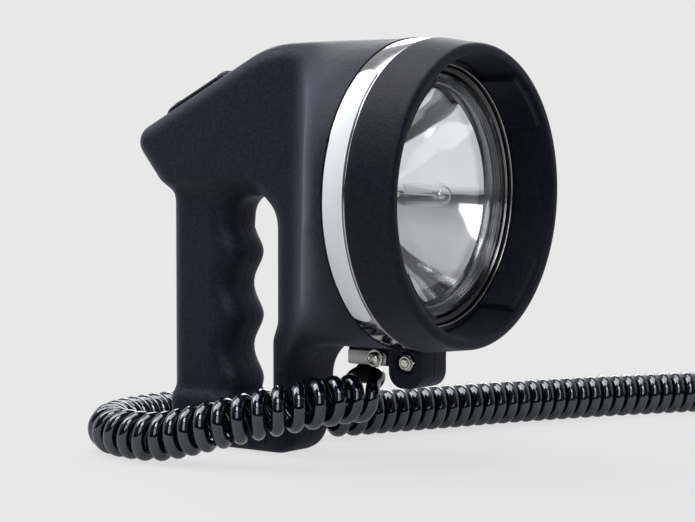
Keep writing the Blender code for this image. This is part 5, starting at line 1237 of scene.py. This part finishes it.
def makeRocker():
    # height dip + (crest - dip) (1 - cos(2 pi s / 1.5)) / 2 along its length, cambered, its rim drawn down
    k = key
    s, c = np.linspace(-1, 1, k["rows"])[:, None], np.linspace(-1, 1, k["columns"])
    wave = 0.5 - 0.5 * np.cos(2 * np.pi * np.minimum(np.abs(s) / k["waveEnd"], 1))
    away = np.minimum((1 - np.abs(s)) * k["length"] / 2, (1 - np.abs(c)) * k["width"] / 2)
    drop = k["rim"] - np.sqrt(np.maximum(k["rim"] ** 2 - np.maximum(k["rim"] - away, 0) ** 2, 0))
    z = k["dip"] + (k["crest"] - k["dip"]) * wave - drop - k["camber"] * c * c
    x, y = np.broadcast_arrays(s * (k["length"] / 2 - k["inset"]), c * (k["width"] / 2 - k["inset"]))
    top = np.stack([x, y, z], axis=2).reshape(-1, 3)
    total = len(top)
    under = np.column_stack([top[:, :2], np.full(total, -k["depth"])])
    index = np.arange(total).reshape(k["rows"], k["columns"])
    quads = np.stack([index[:-1, :-1], index[:-1, 1:], index[1:, 1:], index[1:, :-1]], axis=2).reshape(-1, 4)
    rim = np.concatenate([index[0], index[1:, -1], index[-1, -2::-1], index[-2:0:-1, 0]])
    blocks = [quads, total + quads[:, ::-1], strip(rim, total + rim, True)]
    addPiece("rocker_rubber", (np.vstack([top, under]), blocks), "rocker_rubber", slopeMatrix, sharp=50)


makeSwitchFrame()
makeRocker()
print("switch ready")


bolt = {"radius": 1.98, "root": 1.72, "pitch": 0.35, "threads": 36, "shank": 2.0, "tipRadius": 1.5,
        "headRadius": 3.6, "headDepth": 2.4, "pastNut": 2.4}
# chamfer: from this depth on, corners reach this share of half the flats; 1.2 leaves them whole
nut = {"flats": 7.0, "depth": 3.2, "steps": 120, "chamfer": ((0.0, 1.02), (0.35, 1.2), (2.85, 1.2), (3.2, 1)),
       "collar": ((3.25, 3.3), (3.35, 3.15), (4.3, 3.1), (4.6, 2.8), (4.6, 2.35), (0.0, 2.3))}
bracket = {"rearInset": 0.6, "frontInset": 1.2, "low": 44.3, "high": 50.7, "thickness": 0.8, "rearRound": 0.8,
           "frontRound": 2.4, "soft": 0.2, "hole": 1.8}
washer = {"hole": 1.8, "depth": 0.8, "radius": 4.1, "round": 0.16}
strainScrew = {"end": -5.6, "shank": 1.5, "seat": 1.1, "arm": 2.0, "slot": 0.36, "turn": 0.6, "cutFrom": 0.9,
               "cutDepth": 2.1, "steps": 64,
               "head": ((0.0, 2.9), (0.9, 2.9), (1.5, 2.6), (1.9, 1.9), (2.0, 0.0))}
housingScrew = {"end": -7.0, "shank": 1.5, "seat": -3.2, "arm": 1.9, "slot": 0.34, "turn": 0.4,
                "cutFrom": 0.9, "cutDepth": 6.0, "steps": 48,
                "head": ((0.0, 2.8), (1.3, 2.8), (1.8, 2.4), (2.0, 1.6), (2.0, 0.0))}
sleeve = {"place": (-29.5, 3.6, 38.9), "half": 4.0, "radius": 4.6, "round": 0.6, "draw": 0.5, "bore": 3.6}
gland = [(-61.6, 0), (-61.6, 3.3), (-58.3, 3.3), (-58.3, 4.9), (-54.0, 4.75), (-47.3, 4.1), (-47.3, 0)]
faceNear, faceFar = -90.0, 90.0  # turns about Z that point X towards the camera's side, or away from it
boltFrame = atBand(lug["boltX"], 0, lug["boltZ"], faceFar)


def makeBolt():
    # thread: each pitch is a crest and a root of (x, r); then the shank and a low round head
    seat = lug["half"] - lug["pocketDepth"] + gap
    tip = -(lug["half"] - lug["pocketDepth"] + nut["depth"] + bolt["pastNut"])
    starts = tip + 0.5 + bolt["pitch"] * np.arange(bolt["threads"])
    x = (starts[:, None] + (0, 0.12, 0.18, 0.29)).ravel()
    thread = np.column_stack([x, np.tile((bolt["radius"],) * 2 + (bolt["root"],) * 2, bolt["threads"])])
    wide, end = bolt["headRadius"], seat + bolt["headDepth"]
    head = [(seat, bolt["shank"]), (seat, wide - 0.2), (seat + 0.2, wide), (end - 0.5, wide),
            (end, wide - 0.5), (end, 0)]
    profile = np.vstack([[(tip, 0), (tip, bolt["tipRadius"])], thread, head])
    addTurned("lug_bolt_steel", profile, 48, "zinc_plate", sharp=30, matrix=boltFrame)


def makeNut():
    # a hexagon, r = flat / cos(a from the flat's middle), whose corners are cut towards both faces by a
    # circle, and then a round collar
    rear = -(lug["half"] - lug["pocketDepth"] + gap)
    flat = nut["flats"] / 2
    hexagon = flat / np.cos(circle(nut["steps"]) % (np.pi / 3) - np.pi / 6)
    depth, limit = np.array(nut["chamfer"]).T
    collarDepth, collarRadius = np.array(nut["collar"]).T
    radius = np.vstack([np.minimum(hexagon, flat * limit[:, None]),
                        np.repeat(collarRadius[:, None], nut["steps"], axis=1)])
    solid = turned(rear - np.concatenate([depth, collarDepth]), radius, nut["steps"])
    addPiece("lug_nut_steel", solid, "zinc_plate", boltFrame, sharp=28)


def addCrossScrew(node, v, seat, matrix):
    # a turned screw with a cross cut into its head by two bars
    profile = [(v["end"], 0), (v["end"], v["shank"]), (seat, v["shank"])]
    profile += [(seat + x, r) for x, r in v["head"]]
    low = seat + v["cutFrom"]
    turn = matrix @ Matrix.Rotation(v["turn"], 4, "X")
    bars = [(placed(box((low, -u, -w), (low + v["cutDepth"], u, w)), turn), "DIFFERENCE")
            for u, w in ((v["arm"], v["slot"]), (v["slot"], v["arm"]))]
    addTurned(node + "_steel", profile, v["steps"], "zinc_plate", matrix=matrix, changes=bars)


def makeStrainRelief():
    # a plate with rounded corners and a hole, under a washer and a screw
    b, near = bracket, -block["half"] - gap
    rear, front = block["rear"] + b["rearInset"], block["front"] - b["frontInset"]
    loop = roundedLoop([(rear, b["low"], b["rearRound"]), (rear, b["high"], b["rearRound"]),
                        (front, b["high"], b["frontRound"]), (front, b["low"], b["frontRound"])], 0.3)
    x, z = block["screwX"], block["screwZ"]
    hole = bore(x, z, near - 2.7, near + 1.3, b["hole"])
    addPiece("strain_bracket_plate", slab(loop, near - b["thickness"], near, b["soft"], 3), "bracket_steel",
             atBand(0, 0, 0), sharp=40, changes=[(hole, "DIFFERENCE")])
    matrix = atBand(x, near - b["thickness"] - gap, z, faceNear)
    section = filleted(ringSection(0, washer["depth"], washer["hole"], washer["radius"]), washer["round"])
    addTurned("strain_washer_steel", section, 64, "zinc_plate", sharp=40, matrix=matrix)
    addCrossScrew("strain_screw", strainScrew, strainScrew["seat"], matrix)


def makeSleeveAndGland():
    # sleeve: a short tube on the cord, its ends rounded by draw (1 - sqrt(1 - t^2)); gland: turned about X
    s = sleeve
    x = np.linspace(-s["half"], s["half"], 24)
    t = (np.abs(x) - s["half"] + s["round"]).clip(0) / s["round"]
    outer = np.column_stack([x, s["radius"] - s["draw"] * (1 - np.sqrt(np.clip(1 - t**2, 0, 1)))])
    profile = np.vstack([outer, [(s["half"], s["bore"]), (-s["half"], s["bore"])]])
    made = addTurned("cord_sleeve_rubber", profile, 64, "soft_rubber", sharp=50, matrix=atBand(*s["place"]))
    addTurned("cord_gland_rubber", filleted(gland, 0.5, 4), 64, "soft_rubber", sharp=40,
              matrix=atBand(0, 0, glandHole["z"]))
    return made


def makeHousingScrews():
    for number, (x, z) in enumerate(screws["places"], 1):
        seat = localHalfWidth(x, z) + housingScrew["seat"]
        addCrossScrew(f"housing_screw_{number}", housingScrew, seat, atBand(x, 0, z, faceFar))


makeBolt()
makeNut()
makeStrainRelief()
sleevePiece = makeSleeveAndGland()
makeHousingScrews()
print("fasteners ready")


# rows of the plug's body are x, radius and the ribs' share there
plug = {"gripLength": 30.0, "barrel": 34.0, "nose": 7.0, "tip": 3.0, "flange": 4.4, "clear": 0.4,
        "proud": 5.0, "barrelRadius": 10.4, "ribs": 18, "ribDepth": 0.55, "steps": 144,
        "grip": ((-15.0, 10.9, 0), (-14.5, 11.6, 0), (-13.5, 12.3, 0.2), (-12.0, 12.6, 1), (0.0, 12.6, 1),
                 (12.0, 12.6, 1), (13.5, 12.2, 0.3), (14.6, 11.2, 0), (15.0, 10.4, 0), (15.6, 10.4, 0)),
        "barrelEnd": ((-0.5, 10.4, 0), (0.0, 9.9, 0), (0.0, 7.9, 0), (0.3, 7.6, 0)),
        "noseEnd": ((-0.8, 7.6, 0), (0.0, 6.8, 0))}
boot = {"length": 16.0, "rear": 4.2, "front": 6.0, "grooves": 6, "grooveDepth": 0.55, "plainEnds": 0.04}
contact = {"length": 20.0, "half": 2.5, "thickness": 0.8, "bow": 1.0, "slotDepth": 0.9, "slotTop": 12.4}
fuse = {"cap": 4.0, "capRadius": 3.0, "tubeRadius": 2.7, "clear": 6.0}


def makePlug():
    # a 12 V plug along its own X: body, boot, sprung tip, fuse and two sprung side contacts; its grip's
    # radius falls by depth sqrt((1 - cos(ribs a)) / 2)
    q, matrix = plug, atBand(*plugPlace["centre"], plugPlace["heading"])
    rear, front = -q["gripLength"] / 2, q["gripLength"] / 2
    barrel = front + q["barrel"]
    nose = barrel + q["nose"]
    bored, chamber = q["tip"] + q["clear"], q["flange"] + q["clear"]
    stop = nose - q["nose"] / 3
    depth = stop - 3 * q["nose"]
    rows = np.vstack([q["grip"], q["barrelEnd"] + np.array((barrel, 0, 0)),
                      q["noseEnd"] + np.array((nose, 0, 0)),
                      [(nose, bored, 0), (stop, bored, 0), (stop, chamber, 0), (depth, chamber, 0)]])
    ribbed = q["ribDepth"] * (0.5 - 0.5 * np.cos(q["ribs"] * circle(q["steps"]))) ** 0.5
    solid = turned(rows[:, 0], rows[:, 1:2] - ribbed * rows[:, 2:], q["steps"], (rear, depth))
    end = barrel - q["nose"]
    start, wide = end - contact["length"], contact["half"] + gap
    inner = q["barrelRadius"] - contact["thickness"] - contact["slotDepth"] - gap
    cuts = []
    for side in (-1, 1):
        low, high = sorted((side * inner, side * contact["slotTop"]))
        cuts.append((placed(box((start - gap, low, -wide), (end + gap, high, wide)), matrix), "DIFFERENCE"))
    made = [addPiece("plug_body_phenolic", solid, "phenolic", matrix, changes=cuts)]
    # boot: a cone with grooves, depth (1 - cos) / 2, between two plain ends
    s = np.linspace(0, 1, 49)
    groove = boot["grooveDepth"] * (0.5 - 0.5 * np.cos(2 * np.pi * boot["grooves"] * s))
    groove *= (s > boot["plainEnds"]) & (s < 1 - boot["plainEnds"])
    bellows = np.column_stack([rear - boot["length"] + (boot["length"] - gap) * s,
                               boot["rear"] + (boot["front"] - boot["rear"]) * s - groove])
    cone = np.vstack([bellows[0] * (1, 0), bellows, bellows[-1] * (1, 0)])
    flangeFront = stop - gap
    flangeRear = flangeFront - q["nose"] / 2
    point = nose + q["proud"]
    tip = filleted([(flangeRear, 0), (flangeRear, q["flange"]), (flangeFront, q["flange"]),
                    (flangeFront, q["tip"]), (point - 1.6, q["tip"]), (point, q["tip"] / 2), (point, 0)],
                   0.5, 4)
    first, firstCap, last = depth + gap, depth + fuse["cap"], flangeRear - fuse["clear"]
    lastCap, wide, narrow = last - fuse["cap"], fuse["capRadius"], fuse["tubeRadius"]
    fuseTube = filleted([(first, 0), (first, wide), (firstCap, wide), (firstCap, narrow),
                         (lastCap, narrow), (lastCap, wide), (last, wide), (last, 0)], 0.2, 2)
    for name, profile, steps, look, slot, sharp in (
            ("plug_boot_rubber", cone, 64, "soft_rubber", "soft_rubber", 50),
            ("plug_tip_brass", tip, 64, "nickel", "contact_metal", 40),
            ("plug_fuse_brass", fuseTube, 40, "nickel", "contact_metal", 40)):
        made.append(addTurned(name, profile, steps, look, matrix=matrix, slot=slot, sharp=sharp))
    # spring strip: a bar whose outer face bows by bow s^4 towards its ends
    s = np.linspace(-1, 1, 25)
    high = q["barrelRadius"] + contact["thickness"] - contact["bow"] * s**4
    low = q["barrelRadius"] - contact["thickness"]
    outline = np.vstack([np.column_stack([start + (end - start) * (s + 1) / 2, high]),
                         [(end, low), (start, low)]])
    for number, side in ((1, -1), (2, 1)):
        points, blocks = slab(outline * (1, side), -contact["half"], contact["half"], 0.3, 3)
        upright = points[:, [0, 2, 1]], blocks
        made.append(addPiece(f"plug_side_contact_{number}_steel", upright, "nickel", matrix))
    return made


plugPieces = makePlug()
print("plug ready")

# pieces that no view shows keep the CAD's form and get a finish
innerLooks = {"contact_brass": ("lamp_terminal_1", "lamp_terminal_2", "switch_terminal_1",
                                "switch_terminal_2", "switch_terminal_3", "contact_blade"),
              "polished_steel": ("rocker_pin",), "phenolic": ("switch_body",),
              "soft_rubber": ("supply_wire", "return_wire", "switched_wire")}
for look, nodes in innerLooks.items():
    for node in nodes:
        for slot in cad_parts[node].material_slots:
            slot.material = looks[look]

print("looks ready")
